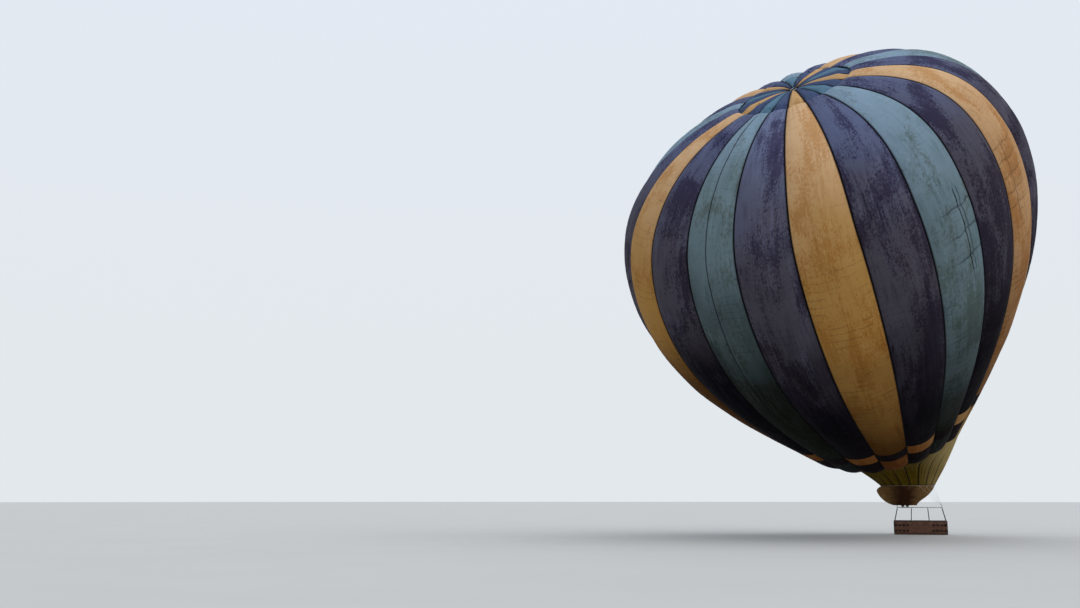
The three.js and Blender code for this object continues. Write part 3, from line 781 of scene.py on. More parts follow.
@dataclass(frozen=True)
class SkirtFinish(Finish):
    """Heat-proof cloth of the skirt: sooty over the burners; the tan towards its sides is painted light."""

    sooty: str
    painted_lit_sides: str
    soot: str
    seam_pitch: float = FULL_TURN * 2 / 20
    burners_right: float = 4.75

    def inputs(self, graph: Graph, effects: Effects) -> dict[str, object]:
        """Says what feeds the shader."""
        flat, solid = graph.flat(), graph.solid()
        away = graph.calc("ABSOLUTE", graph.minus(graph.split(solid)[0], self.burners_right))
        away = graph.times_plus(graph.noise(solid, 1.4, 3), 0.9, away)
        # Painted light: tan away from the burners, towards the sides, for light through the thin cloth.
        colour = graph.mix(graph.ramp(away, 0.7, 2.0), self.sooty, self.painted_lit_sides)
        flakes = graph.group(effects.flakes, place=solid, amount=0.12, fineness=5.0)
        streaks = graph.group(effects.streaks, place=flat, width=0.12)
        around, drop, _ = graph.split(flat)
        seams = graph.group(effects.panels, along=around, pitch=self.seam_pitch, width=0.03)
        lines = graph.most([seams, graph.ramp(drop, 0.07, 0.1, 1.0, 0.0)])
        for share in (graph.times(flakes, 0.5), graph.times(streaks, 0.6), graph.times(lines, 0.6)):
            colour = graph.mix(share, colour, self.soot)
        wrinkles = graph.group(effects.wrinkles, place=flat, seam=0.0, reach=1.0)
        return {"Base Color": colour, "Roughness": 0.85, "Specular IOR Level": 0.05,
                "Normal": graph.bump(wrinkles, 0.6, 0.03)}


@dataclass(frozen=True)
class WickerFinish(Finish):
    """Woven willow and cane, each weaver a little different in tone; painted shade in grooves and behind
    stakes.
    """

    light: str
    dark: str
    gap: str

    def inputs(self, graph: Graph, effects: Effects) -> dict[str, object]:
        """Says what feeds the shader."""
        solid = graph.solid()
        x, y, z = graph.split(solid)
        around, turns = graph.calc("ADD", x, y), graph.calc("DIVIDE", z, WEAVER_HEIGHT)
        row = graph.calc("FLOOR", turns)
        cane = graph.noise(graph.vector(graph.times(around, 1.4), row), 3.1, 2, 0.6)
        colour = graph.mix(graph.ramp(cane, 0.3, 0.7), self.dark, self.light)
        # Painted shade: the grooves between rows and the places where a weaver passes behind a stake take the
        # gap colour.
        groove = graph.ramp(graph.off_whole(turns), 0.02, 0.22, 1.0, 0.0)
        behind = graph.ramp(graph.field(WEAVE_FIELD), -0.9, 0.5, 0.75, 0.0)
        colour = graph.mix(graph.most([graph.times(groove, 0.8), behind]), colour, self.gap)
        grime = graph.group(effects.grime, place=solid, scale=1.4, amount=0.36)
        fibres = graph.noise(graph.vector(graph.times(around, 8.0), graph.times(z, 260.0)), 1.0, 3)
        height = graph.times_plus(groove, -1.0, graph.times(fibres, 0.4))
        return {"Base Color": graph.mix(graph.times(grime, 0.5), colour, self.gap),
                "Roughness": graph.times_plus(cane, 0.25, 0.5), "Normal": graph.bump(height, 0.6, 0.004)}


def one_tone(name: str, tone: str, worn: str, scuff_and_sheen: str, **rest: object) -> ClothFinish:
    """Makes the finish of a cloth that is the same tone all along."""
    return ClothFinish(name, tone, tone, tone, worn, worn, scuff_and_sheen, **rest)


class Finishes:
    """Every material of the balloon, by name."""

    def __init__(self) -> None:
        """Builds them all."""
        effects = Effects()
        orange = dict(flake="e4cfb2", stain="e0ccb0", scuff_and_sheen="c9a070", flake_amount=-0.1, wear_and_shade_share=0.35,
                      stain_share=0.6, scuff_and_sheen_share=0.2, line_share=0.55, high_end=41.0)
        green = dict(flake="c6c0ac", stain="c3ccc6", scuff_and_sheen="8aa3a8", flake_amount=-0.1, wear_and_shade_share=0.4,
                     stain_share=0.6, scuff_and_sheen_share=0.25, line_share=0.5, flake_size=6.0, flake_share=0.75)
        row = dict(line_share=0.0, flake_share=0.5, seam_reach=0.08)
        charcoal = ("565d79", "4b4750", "0d080f", "8f7d96", "a095ac", "6a6c83")
        aged = dict(stain_share=0.6, line_share=0.3, flake_size=9.5, turn_at=31.0)
        green_cloth, orange_cloth = ("7a8fa0", "64757b", "191d18"), ("c3a07a", "a87e43", "4e2f08")
        specs = [
            ClothFinish("orange_cloth", *orange_cloth, **orange),
            # Its middle and low tones are lighter and pinker than orange_cloth's: painted light on the right
            # side of the balloon.
            ClothFinish("orange_drawn", "c3a07a", "b08860", "6a4520", slits=(-1.14,), slit_share=0.36,
                        rungs_over=(1.2, -0.6), rung_pitch=1.1, rung_start=0.0, **orange),
            # The shaded copies keep the dark low tone further up the gore: painted shade on the lower left of
            # the balloon.
            ClothFinish("orange_shaded", *orange_cloth, low_end=19.0, **orange),
            ClothFinish("charcoal_cloth", *charcoal, scuff_and_sheen_share=0.4, low_end=14.0, **aged),
            ClothFinish("charcoal_shaded", *charcoal, scuff_and_sheen_share=0.4, low_end=21.0, **aged),
            # More scuffs and painted sheen, and a paler crown tone, than charcoal_cloth.
            ClothFinish("charcoal_scuffed_sheen", "666e8a", *charcoal[1:], scuff_and_sheen_share=0.55, low_end=15.0, **aged),
            ClothFinish("charcoal_smooth", *charcoal, stain_share=0.3, scuff_and_sheen_share=0.15,
                        line_share=0.15, low_end=15.0, turn_at=32.0),
            ClothFinish("green_cloth", *green_cloth, low_end=11.0, **green),
            # Its dark low tone reaches further up than green_cloth's: painted shade on the lower left.
            ClothFinish("green_seamed", *green_cloth, middle_seam=True, low_end=21.0, turn_at=36.0, **green),
            ClothFinish("green_vent", *green_cloth, slits=(0.69, 1.02), low_end=11.0, **green),
            one_tone("row_dark", "150c10", "b0a0a0", "20161a", **row),
            one_tone("row_orange", "7f4f22", "b0a0a0", "8f5c2c", lit="a07a4c", **row),
            one_tone("row_brown", "6a3f18", "b0a0a0", "6b4522", lit="8a6a3a", **row),
            one_tone("row_grey", "1f2421", "b0a0a0", "2a312e", **row),
            # Its dark tone carries painted shade of the mouth, and lit is painted light on its right side.
            one_tone("ochre_cloth", "5c4a0c", "a39a80", "7a6226", line_share=0.2, flake_share=0.6,
                     lit="ac9664", seam_reach=0.08),
            SkirtFinish("skirt_cloth", "452a1a", "a07a4a", "1e120b"),
            one_tone("valve_dark", "424e6a", "a8a0b8", "566a95"),
            one_tone("valve_teal", "547286", "a8b0b8", "6f97a8"),
            one_tone("valve_orange", "b89468", "c8a880", "d0a860"),
            PlainFinish("load_tape", "121014", "09080a", roughness=0.85, grain_scale=220,
                        grain_depth=0.001, gloss=0.08),
            # Near black, darker than the leather: partly its own dark leather, partly painted shade of the
            # dark foot holes.
            PlainFinish("hole_frame", "150d0c", "0a0606", roughness=0.7, grain_scale=180,
                        grain_depth=0.001, gloss=0.2),
            PlainFinish("rope", "a1977f", "5f5746", roughness=0.85, grain_scale=140,
                        grain_depth=0.004),
            PlainFinish("steel", "d6d8da", "8c8e90", roughness=0.3, metallic=0.85,
                        grain_scale=90, grain_depth=0.0004, grime_amount=0.28),
            PlainFinish("burner_steel", "a9a49c", "5d4a3a", roughness=0.32, metallic=0.9,
                        grain_scale=50, grain_depth=0.0006, grime_scale=9, grime_amount=0.4),
            PlainFinish("brass", "b08d3f", "6b5322", roughness=0.35, metallic=0.9, grain_scale=80),
            PlainFinish("red_paint", "8f1d18", "4c1412", roughness=0.45, grain_scale=40, coat=0.3),
            PlainFinish("leather", "3a2426", "1d1214", roughness=0.5, grain_scale=180,
                        grain_depth=0.0015, grime_amount=0.4),
            PlainFinish("pole_cover", "231f22", "121012", roughness=0.75, grain_scale=260,
                        grain_depth=0.001),
            PlainFinish("wood", "8b6b43", "4e3a24", roughness=0.65, grain_scale=7,
                        grain_depth=0.002, stretch=(1.0, 14.0, 14.0), grime_amount=0.4),
            PlainFinish("tank_metal", "a9aeb2", "6b6e70", roughness=0.35, metallic=0.85,
                        grain_scale=45, grain_depth=0.0005, grime_amount=0.32),
            WickerFinish("wicker", "8a5738", "5e3824", "1e110c"),
        ]
        self.made = {spec.name: spec.build(effects) for spec in specs}

    def __getitem__(self, name: str) -> Material:
        """Gives a material by its name."""
        return self.made[name]


# The envelope


@dataclass(frozen=True)
class EnvelopeForm:
    """The leaning surface that the envelope's seams lie on, in metres.

    Places along the cloth run from 0 at the mouth to the crown; the outline's own parameter
    runs from 0 at the crown, by 1 at the equator, to 2 at the mouth.
    """

    shift: Point = (5.893, 15.142, -22.156)
    mouth: Point = (-0.85, -0.34, 3.95)
    lean: Point = (-0.277, -0.813, 1.0)
    axis_length: float = 36.7
    equator_radius: float = 13.9
    equator_along: float = 24.9
    crown_dip: float = 0.92
    mouth_radius: float = 2.12
    cone_half_angle: float = math.radians(30.8)
    crown_fullness: float = 0.745
    shoulder_fullness: float = 0.545
    lower_fullness: float = 0.352
    cone_share: float = 0.383
    oval_share: float = -0.101
    oval_turn: float = 0.17
    lobe_share: float = 0.064
    lobe_turn: float = 0.12
    tilt_over: float = 7.0
    bend_front: float = 0.275
    bend_right: float = 1.18
    sink_slope: float = 0.09
    sink_reach: float = 3.0
    sink_softness: float = 2.0
    sink_over: tuple[float, float] = (22.0, 36.0)
    sink_ease: float = 0.5
    sink_ease_over: float = 10.0
    crown_right: float = 0.38
    crown_right_over: tuple[float, float] = (29.0, 36.0)
    gores: int = 20
    first_seam: float = 0.112
    vent_radius: float = 4.0
    table_steps: int = 1200
    crown_ring_radius: float = 0.27

    def __post_init__(self) -> None:
        """Works out the axis and the table from metres of cloth to the outline's parameter."""
        steps = np.linspace(2, 0, self.table_steps + 1)
        radius, along = self.outline(steps)
        run = np.concatenate([[0], np.cumsum(np.hypot(np.diff(radius), np.diff(along)))])
        for name, value in (("steps", steps), ("run", run), ("axis", unit(np.array(self.lean)))):
            object.__setattr__(self, name, value)
        object.__setattr__(self, "vent_edge", self.above(self.vent_radius, run))

    def above(self, radius: float, table: Array) -> float:
        """Gives the value of a table where the upper outline has that radius."""
        upper = self.steps < 1
        return float(np.interp(-radius, -self.outline(self.steps)[0][upper], table[upper]))

    def outline(self, step: Array) -> tuple[Array, Array]:
        """Gives the radius and the place along the axis for the outline's parameter."""
        step = np.asarray(step, float)
        equator, start = self.equator_radius, self.equator_along
        above = self.axis_length - start
        cone = self.cone_share * start
        upper = [(0, self.axis_length - self.crown_dip), (self.crown_fullness * equator, self.axis_length),
                 (equator, start + self.shoulder_fullness * above), (equator, start)]
        lower = [(equator, start), (equator, start * (1 - self.lower_fullness)),
                 (self.mouth_radius + cone * math.tan(self.cone_half_angle), cone), (self.mouth_radius, 0)]
        top, low = cubic(upper, np.clip(step, 0, 1)), cubic(lower, np.clip(step - 1, 0, 1))
        both = np.where((step < 1)[..., None], top, low)
        return both[..., 0], both[..., 1]

    def step_at(self, cloth: Array) -> Array:
        """Gives the outline's parameter at so many metres of cloth from the mouth."""
        return np.interp(cloth, self.run, self.steps)

    def radius_at(self, cloth: Array) -> Array:
        """Gives the round outline's radius at so many metres of cloth from the mouth."""
        return self.outline(self.step_at(cloth))[0]

    def width_at(self, cloth: Array) -> Array:
        """Gives a gore's cut width."""
        return self.radius_at(cloth) * FULL_TURN / self.gores

    def seam_turn(self, seam: Array) -> Array:
        """Gives the angle of a seam, counted from the front seam to the right."""
        return self.first_seam + np.asarray(seam) * FULL_TURN / self.gores

    @staticmethod
    def section(normal: Array) -> tuple[Array, Array]:
        """Gives the forward and the rightward direction of the sections with that normal."""
        viewer = np.array((0, -1.0, 0))
        front = unit(viewer - normal * (normal @ viewer)[..., None])
        return front, np.cross(normal, front)

    def seam_surface(self, step: Array, turn: Array) -> Array:
        """Gives points of the surface that the seams lie on, without the gores' bulge."""
        radius, along = self.outline(step)
        share = along / self.axis_length
        tilt = smoothstep(along, 0, self.tilt_over)[..., None]
        normal = unit(np.array((0, 0, 1.0)) * (1 - tilt) + self.axis * tilt)
        front, right = self.section(normal)
        axis_front, axis_right = self.section(self.axis[None])
        inside = np.clip(share, 0, 1)
        oval = self.oval_share * np.sin(np.pi * inside**0.8) * np.cos(2 * (turn - self.oval_turn))
        lobe = self.lobe_share * np.sin(np.pi * inside) * np.cos(3 * (turn - self.lobe_turn))
        reach = radius * (1 + oval + lobe)
        frontward, rightward = reach * np.cos(turn), reach * np.sin(turn)
        bend = share**2
        rightwards = self.bend_right * bend + self.crown_right * smoothstep(along, *self.crown_right_over)
        sunk = along - self.sink(along, frontward, rightward)
        return (np.array(self.mouth) + np.array(self.shift) + self.axis * sunk[..., None]
                + axis_front[0] * self.bend_front * bend[..., None]
                + axis_right[0] * rightwards[..., None]
                + front * frontward[..., None] + right * rightward[..., None])

    def sink(self, along: Array, frontward: Array, rightward: Array) -> Array:
        """Gives how far the shoulder and crown sink, most at the far side, less at the right."""
        behind = self.sink_reach - frontward
        softened = 0.5 * (behind + np.hypot(behind, self.sink_softness))
        eased = 1 - self.sink_ease * smoothstep(rightward, 0, self.sink_ease_over)
        return self.sink_slope * softened * eased * smoothstep(along, *self.sink_over)

    def normal(self, step: Array, turn: Array) -> Array:
        """Gives the outward direction of the seam surface."""
        small = 1e-3
        safe = np.maximum(step, 2 * small)
        down = (self.seam_surface(np.minimum(safe + small, 2), turn)
                - self.seam_surface(safe - small, turn))
        round_it = self.seam_surface(safe, turn + small) - self.seam_surface(safe, turn - small)
        return unit(np.cross(down, round_it))

    def lifted(self, cloth: Array, seam: Array, lift: Array) -> Array:
        """Gives points at a place along the cloth, a seam number with its fraction, and a lift."""
        step, turn = self.step_at(cloth), self.seam_turn(seam)
        return self.seam_surface(step, turn) + self.normal(step, turn) * np.asarray(lift)[..., None]


def cubic(points: Sequence[tuple[float, float]], share: Array) -> Array:
    """Gives the points of a cubic Bezier curve."""
    a, b, c, d = (np.array(p, float) for p in points)
    t = share[..., None]
    return (1 - t) ** 3 * a + 3 * (1 - t) ** 2 * t * b + 3 * (1 - t) * t * t * c + t**3 * d


@dataclass(frozen=True)
class Stripe:
    """What every gore of one colour has.

    Its slot is the record's material slot, its rows are the cloths of the upper and the lower
    chequer row under it, and valve is the number of the valve's cloth beyond it.
    """

    slot: str
    rows: tuple[str, str]
    valve: int


STRIPES = (
    Stripe("orange_cloth", ("row_dark", "row_brown"), 2),
    Stripe("charcoal_cloth", ("row_orange", "row_dark"), 0),
    Stripe("green_cloth", ("row_dark", "row_grey"), 1),
    Stripe("charcoal_cloth", ("row_orange", "row_dark"), 0),
)


@dataclass(frozen=True)
class Vent:
    """A slit along a gore, drawn in and puckered by its line."""

    gore: int
    first: float
    last: float
    span: tuple[float, float]
    rung_pitch: float = 1.76
    rung_start: float = 1.1
    groove: float = 0.085
    pucker: float = 0.09
    reach: float = 0.4

    def depth_at(self, share: Array, cloth: Array) -> Array:
        """Gives how deep the slit and its puckers lie.

        Args:
            share: Place across the gore, 0 to 1.
            cloth: Metres of cloth from the mouth.

        Returns:
            The depth at each place.
        """
        low, high = self.span
        rungs = (cloth - self.rung_start) / self.rung_pitch
        off = np.abs(rungs - np.rint(rungs)) * self.rung_pitch
        here = smoothstep(cloth, low - 0.7, low + 0.7) * (1 - smoothstep(cloth, high - 0.7, high + 0.7))
        slit = sum(np.exp(-(((share - line) / 0.03) ** 2)) for line in (self.first, self.last))
        beside = np.exp(-(((share - (self.first + self.last) / 2) / self.reach) ** 2))
        rungs = np.exp(-((off / 0.2) ** 2)) * beside * np.sin(np.pi * np.clip(share, 0, 1)) ** 0.5
        return here * (self.groove * slit + self.pucker * rungs)


@dataclass(frozen=True)
class WearAndShadeSpot:
    """A place where a gore's coating has come off, or where it has stayed if amount is below 0; two of the
    listed places are painted shade instead.
    """

    gore: int
    share: float
    cloth: float
    half_share: float
    half_length: float
    amount: float

    def amount_at(self, share: Array, cloth: Array) -> Array:
        """Gives its amount at each place."""
        across = (share - self.share) / self.half_share
        along = (cloth - self.cloth) / self.half_length
        return self.amount * np.exp(-(across**2 + along**2))


@dataclass
class Assembly:
    """A part of the balloon, with what every one of them needs."""

    form: EnvelopeForm
    finishes: Finishes

    @property
    def shift(self) -> Array:
        """Where the middle of the basket's foot lies."""
        return np.array(self.form.shift)

    def looks(self, *names: str) -> list[Material]:
        """Gives the materials with those names."""
        return [self.finishes[name] for name in names]


@dataclass
class Envelope(Assembly):
    """Twenty gores in two lengths each, their load tapes, and the turning vents."""

    bulge: float = 0.42
    crown_bulge: float = 0.3
    crown_bulge_over: tuple[float, float] = (33.0, 41.0)
    valley: float = 0.13
    roundness: float = 0.72
    crown_power: float = 0.22
    cone_power: float = 0.75
    row_step: float = 0.22
    rows_to_panel: int = 5
    join_row: int = 100
    # Gores 16 to 18 at the left take cloths whose dark low tone reaches further up, painted shade; gore 4
    # takes orange_drawn, whose lighter lower tones are painted light.
    sewn_cloths: tuple[tuple[int, str], ...] = (
        (2, "green_vent"), (3, "charcoal_smooth"), (4, "orange_drawn"), (14, "green_vent"),
        (16, "orange_shaded"), (17, "charcoal_shaded"), (18, "green_seamed"), (19, "charcoal_scuffed_sheen"),
    )
    columns: int = 24
    end_roll: float = 0.6
    end_rows: int = 10
    cell_rows: tuple[int, int, int] = (32, 43, 49)
    thickness: float = 0.006
    panel_dip: float = 0.016
    gather_depth: float = 0.035
    fold_depth: float = 0.045
    lap_lift: float = 0.009
    lap_over: float = 0.3
    tape_width: float = 0.075
    tape_slim_over: tuple[float, float] = (5.0, 12.0)
    tape_over: float = 0.008
    tape_thickness: float = 0.004
    vents: tuple[Vent, ...] = (
        Vent(2, 0.66, 0.735, (26.4, 32.2)), Vent(14, 0.66, 0.735, (26.4, 32.2)),
        Vent(4, 0.18, 0.27, (26.6, 31.5), 1.1, 0.0, 0.05, 0.06),
    )
    worn: tuple[WearAndShadeSpot, ...] = (
        WearAndShadeSpot(19, 0.30, 24.5, 0.32, 4.0, 0.75), WearAndShadeSpot(19, 0.45, 19.0, 0.35, 4.0, 0.70),
        WearAndShadeSpot(19, 0.80, 38.5, 0.20, 2.0, 0.35), WearAndShadeSpot(19, 0.80, 26.0, 0.22, 5.0, -0.45),
        WearAndShadeSpot(19, 0.45, 36.5, 0.40, 3.0, -0.50), WearAndShadeSpot(1, 0.70, 26.0, 0.30, 5.5, 0.60),
        WearAndShadeSpot(1, 0.50, 21.0, 0.30, 4.0, 0.30), WearAndShadeSpot(1, 0.15, 27.0, 0.18, 7.0, -0.35),
        WearAndShadeSpot(1, 0.50, 37.0, 0.40, 3.0, 0.40), WearAndShadeSpot(1, 0.20, 17.0, 0.22, 2.6, -0.30),
        WearAndShadeSpot(3, 0.50, 24.0, 0.60, 6.0, 0.80),
        WearAndShadeSpot(17, 0.55, 36.0, 0.30, 3.0, 0.40), WearAndShadeSpot(17, 0.60, 27.0, 0.35, 4.0, 0.20),
        WearAndShadeSpot(2, 0.50, 24.0, 0.25, 2.6, 0.60), WearAndShadeSpot(2, 0.35, 30.5, 0.20, 1.2, 0.45),
        WearAndShadeSpot(0, 0.30, 30.5, 0.25, 2.6, 0.25), WearAndShadeSpot(0, 0.40, 20.0, 0.30, 3.0, 0.35),
        WearAndShadeSpot(4, 0.30, 29.0, 0.30, 2.8, 0.60), WearAndShadeSpot(16, 0.40, 38.0, 0.40, 2.4, 0.35),
        # These two darken the lower part of gores 17 and 18 at the left: painted shade, drawn with the
        # flakes.
        WearAndShadeSpot(17, 0.50, 19.0, 0.50, 5.0, 0.60), WearAndShadeSpot(18, 0.50, 17.0, 0.50, 5.0, 0.50),
    )
    panel_reach: float = 0.13
    gathers: float = 5.0
    gather_reach: float = 2.2
    folds: float = 3.5
    fold_at: float = 2.2
    fold_reach: float = 2.4
    sway: float = 0.05
    ring_lift: float = 0.018
    ring_steps: int = 48

    def depth(self, cloth: Array) -> tuple[Array, Array]:
        """Gives the gore's bulge and the seam's inset at a place along the cloth."""
        share = self.form.radius_at(cloth) / self.form.equator_radius
        upper = cloth > self.form.run[-1] * 0.58
        power = np.where(upper, share**self.crown_power, share**self.cone_power)
        open_out = smoothstep(cloth, 0.1, 5.0)
        high = smoothstep(cloth, *self.crown_bulge_over)
        bulge = self.bulge + (self.crown_bulge - self.bulge) * high
        return bulge * power * open_out, self.valley * open_out

    def lift(self, gore: int, share: Array, cloth: Array) -> Array:
        """Gives how far the cloth stands off the seam surface.

        Args:
            gore: Number of the gore, from 0.
            share: Place across the gore, 0 to 1.
            cloth: Metres of cloth from the mouth.

        Returns:
            The lift at each place.
        """
        full, inset = self.depth(cloth)
        across = np.sin(np.pi * np.clip(share, 0, 1)) ** self.roundness
        end = np.clip((self.form.vent_edge - cloth) / self.end_roll, 0, 1)
        rolled = np.sqrt(1 - (1 - end) ** 2)
        lift = -inset + full * across * rolled
        panel = self.row_step * self.rows_to_panel
        number = np.rint(cloth / panel)
        off = np.abs(cloth / panel - number) * panel
        uneven = 0.5 + 0.5 * np.sin(2.1 * number + 1.3 * gore + 3 * share)
        dip = np.exp(-((off / self.panel_reach) ** 2)) * across
        lift -= dip * self.panel_dip * uneven * smoothstep(cloth, 6, 11)
        for vent in self.vents:
            if vent.gore == gore:
                lift -= vent.depth_at(share, cloth)
        to_vent = self.form.vent_edge - cloth
        gathers = np.cos(FULL_TURN * self.gathers * share + 1.7 * gore + 0.6 * cloth)
        lift += gathers * across * self.gather_depth * np.exp(-to_vent / self.gather_reach) * rolled
        folds = np.cos(FULL_TURN * self.folds * share + 2.3 * gore) * across * self.fold_depth
        near = np.exp(-((cloth - self.fold_at) / self.fold_reach) ** 2)
        return lift + folds * near * smoothstep(cloth, 0, 2)

    def lap(self, cloth: Array) -> Array:
        """Gives how far the upper length lies over the lower one where they are sewn."""
        join = self.join_row * self.row_step
        return self.lap_lift * (1 - smoothstep(cloth, join + 0.02, join + self.lap_over))

    def wear_and_shade(self, gore: int, share: Array, cloth: Array) -> Array:
        """Gives how worn the cloth is, from 0 by 0.5 to 1, with two places of painted shade among them."""
        total = np.full_like(share, 0.5)
        for spot in self.worn:
            if spot.gore == gore:
                total += spot.amount_at(share, cloth)
        return np.clip(total, 0, 1)

    def gore_point(self, gore: int, lapped: bool = False) -> Placer:
        """Gives the function that places a gore's cloth, lapped at its lower end or not."""

        def place(share: Array, cloth: Array) -> Array:
            lift = self.lift(gore, share, cloth) + (self.lap(cloth) if lapped else 0)
            points = self.form.lifted(cloth, gore - 1 + share, lift)
            waves = roughen(points * 0.33, gore) * np.sin(np.pi * share)
            sway = waves * self.sway * smoothstep(cloth, 2, 8) * smoothstep(self.form.vent_edge - cloth, 0, 2)
            step, turn = self.form.step_at(cloth), self.form.seam_turn(gore - 1 + share)
            return points + self.form.normal(step, turn) * sway[..., None]

        return place

    def add_gore(self, gore: int, name: str, rows: Array, lower: bool) -> Piece:
        """Makes one length of a gore.

        Args:
            gore: Number of the gore, from 0.
            name: Name of the piece.
            rows: Metres of cloth from the mouth, one for each row of points.
            lower: Whether it is the length that ends at the mouth.

        Returns:
            The piece.
        """
        stripe = STRIPES[gore % 4]
        inset = 0.0006
        columns = np.clip(eased_shares(self.columns), inset, 1 - inset)

        def flat(share: Array, cloth: Array) -> Array:
            return np.stack([(share - 0.5) * self.form.width_at(cloth), cloth], axis=-1)

        def seam(share: Array, cloth: Array) -> Array:
            return np.minimum(share, 1 - share) * self.form.width_at(cloth)

        def wear_and_shade(share: Array, cloth: Array) -> Array:
            return self.wear_and_shade(gore, share, cloth)

        mesh = surface_mesh(name, columns, rows, self.gore_point(gore, not lower), flat,
                            {SEAM_FIELD: seam, WEAR_AND_SHADE_FIELD: wear_and_shade})
        cloths = [dict(self.sewn_cloths).get(gore, stripe.slot)]
        if lower:
            cloths += [*stripe.rows, "ochre_cloth"]
            low, middle, high = (row * self.row_step for row in self.cell_rows)
            corners = read(mesh.polygons, "loop_start", 1, int)[:, None] + np.arange(4)
            place = read(mesh.uv_layers[FLAT_MAP].data, "uv", 2)[corners, 1].mean(axis=1)
            bands = np.select([place > high, place > middle, place > low], [0, 1, 2], 3)
            mesh.polygons.foreach_set("material_index", bands)
        piece = add_object(mesh, self.looks(*cloths))
        width, length, area = cut_size(mesh, len(columns), len(rows))
        LOG.info("%s is cut from %.2f x %.2f m, %.2f square metres", name, width, length, area)
        give_thickness(piece, self.thickness)
        return piece

    def row_places(self) -> tuple[Array, Array]:
        """Gives the rows of the lower and of the upper length."""
        edge = self.form.vent_edge
        fine_from = edge - self.end_roll * 1.2
        count = int((fine_from - self.join_row * self.row_step) / self.row_step)
        regular = np.arange(self.join_row, self.join_row + count + 1) * self.row_step
        share = np.linspace(0, 1, self.end_rows + 1)[1:]
        fine = regular[-1] + (edge - regular[-1]) * (1 - (1 - share) ** 1.6)
        lap = regular[0] - 0.05
        return np.arange(self.join_row + 1) * self.row_step, np.concatenate([[lap], regular, fine])

    def add_tapes(self) -> None:
        """Adds the load tapes, which lie in the valleys from the crown ring to the mouth."""
        form = self.form
        edge, start = form.vent_edge, form.above(form.crown_ring_radius, form.run)
        rows = np.concatenate([np.arange(0.0, edge, 2 * self.row_step), np.linspace(edge, start, 14)])
        joined = bmesh.new()
        for seam in range(form.gores):

            def place(side: Array, cloth: Array, seam: int = seam) -> Array:
                width = np.maximum(form.width_at(cloth), 0.08)
                slim = 0.55 + 0.45 * smoothstep(cloth, *self.tape_slim_over)
                share = side * np.minimum(self.tape_width / 2 * slim, 0.4 * width) / width
                full, inset = self.depth(cloth)
                on_cloth = -inset + full * np.sin(np.pi * np.abs(share)) ** self.roundness
                over_vent = smoothstep(cloth, edge - 0.3, edge + 0.1)
                ring = smoothstep(cloth, edge + 1.2, start)
                lift = on_cloth * (1 - over_vent) - over_vent * inset * (1 - ring) + self.tape_over
                return form.lifted(cloth, seam + share, lift)

            mesh = surface_mesh("tape", np.array([-1.0, 0.0, 1.0]), rows, place)
            joined.from_mesh(mesh)
            bpy.data.meshes.remove(mesh)
        piece = add_object(to_mesh(joined, "load_tapes"), self.looks("load_tape"),
                           ["crown_tapes"])
        give_thickness(piece, self.tape_thickness, 1)

    def add_crown_ring(self) -> None:
        """Adds the ring at the crown, bound with the ends of the tapes."""
        form = self.form
        step = form.above(form.crown_ring_radius, form.steps)

        def on_ring(turns: Array) -> Array:
            steps = np.full(len(turns), step)
            return form.seam_surface(steps, turns) + form.normal(steps, turns) * self.ring_lift

        middle = on_ring(angles(self.ring_steps))
        work = Workpiece()
        work.tube(middle, 0.022, sides=10, closed=True)
        for centre in on_ring(form.seam_turn(np.arange(form.gores))):
            out = unit(centre - middle.mean(axis=0))
            loop = [centre + 0.03 * (out * math.cos(s) + form.axis * math.sin(s)) for s in angles(8)]
            work.tube(np.array(loop), 0.012, sides=6, slot=1, closed=True)
        work.finish("crown_ring", "load_tape", self.looks("steel", "load_tape"))

    def add_vent_lines(self) -> None:
        """Adds the double line of webbing along each turning vent's slit."""
        work = Workpiece()
        inside = self.shift + np.array(self.form.mouth) + self.form.axis * 20
        radius = 0.014
        for vent in self.vents[:2]:
            along = np.linspace(*vent.span, 34)
            for line in (vent.first, vent.last):
                path = self.gore_point(vent.gore)(np.full_like(along, line), along)
                work.tube(path + unit(path - inside) * radius * 0.8, radius, sides=6)
        work.finish("turning_vent_webbing", "load_tape", self.looks("load_tape"))

    def build(self) -> None:
        """Makes the whole envelope but the valve."""
        lower, upper = self.row_places()
        for gore in range(self.form.gores):
            label = f"gore_{gore + 1:02d}"
            self.add_gore(gore, f"{label}_lower", lower, True)
            top = self.add_gore(gore, f"{label}_upper", upper, False)
            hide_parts(label)
        self.add_tapes()
        self.add_crown_ring()
        self.add_vent_lines()


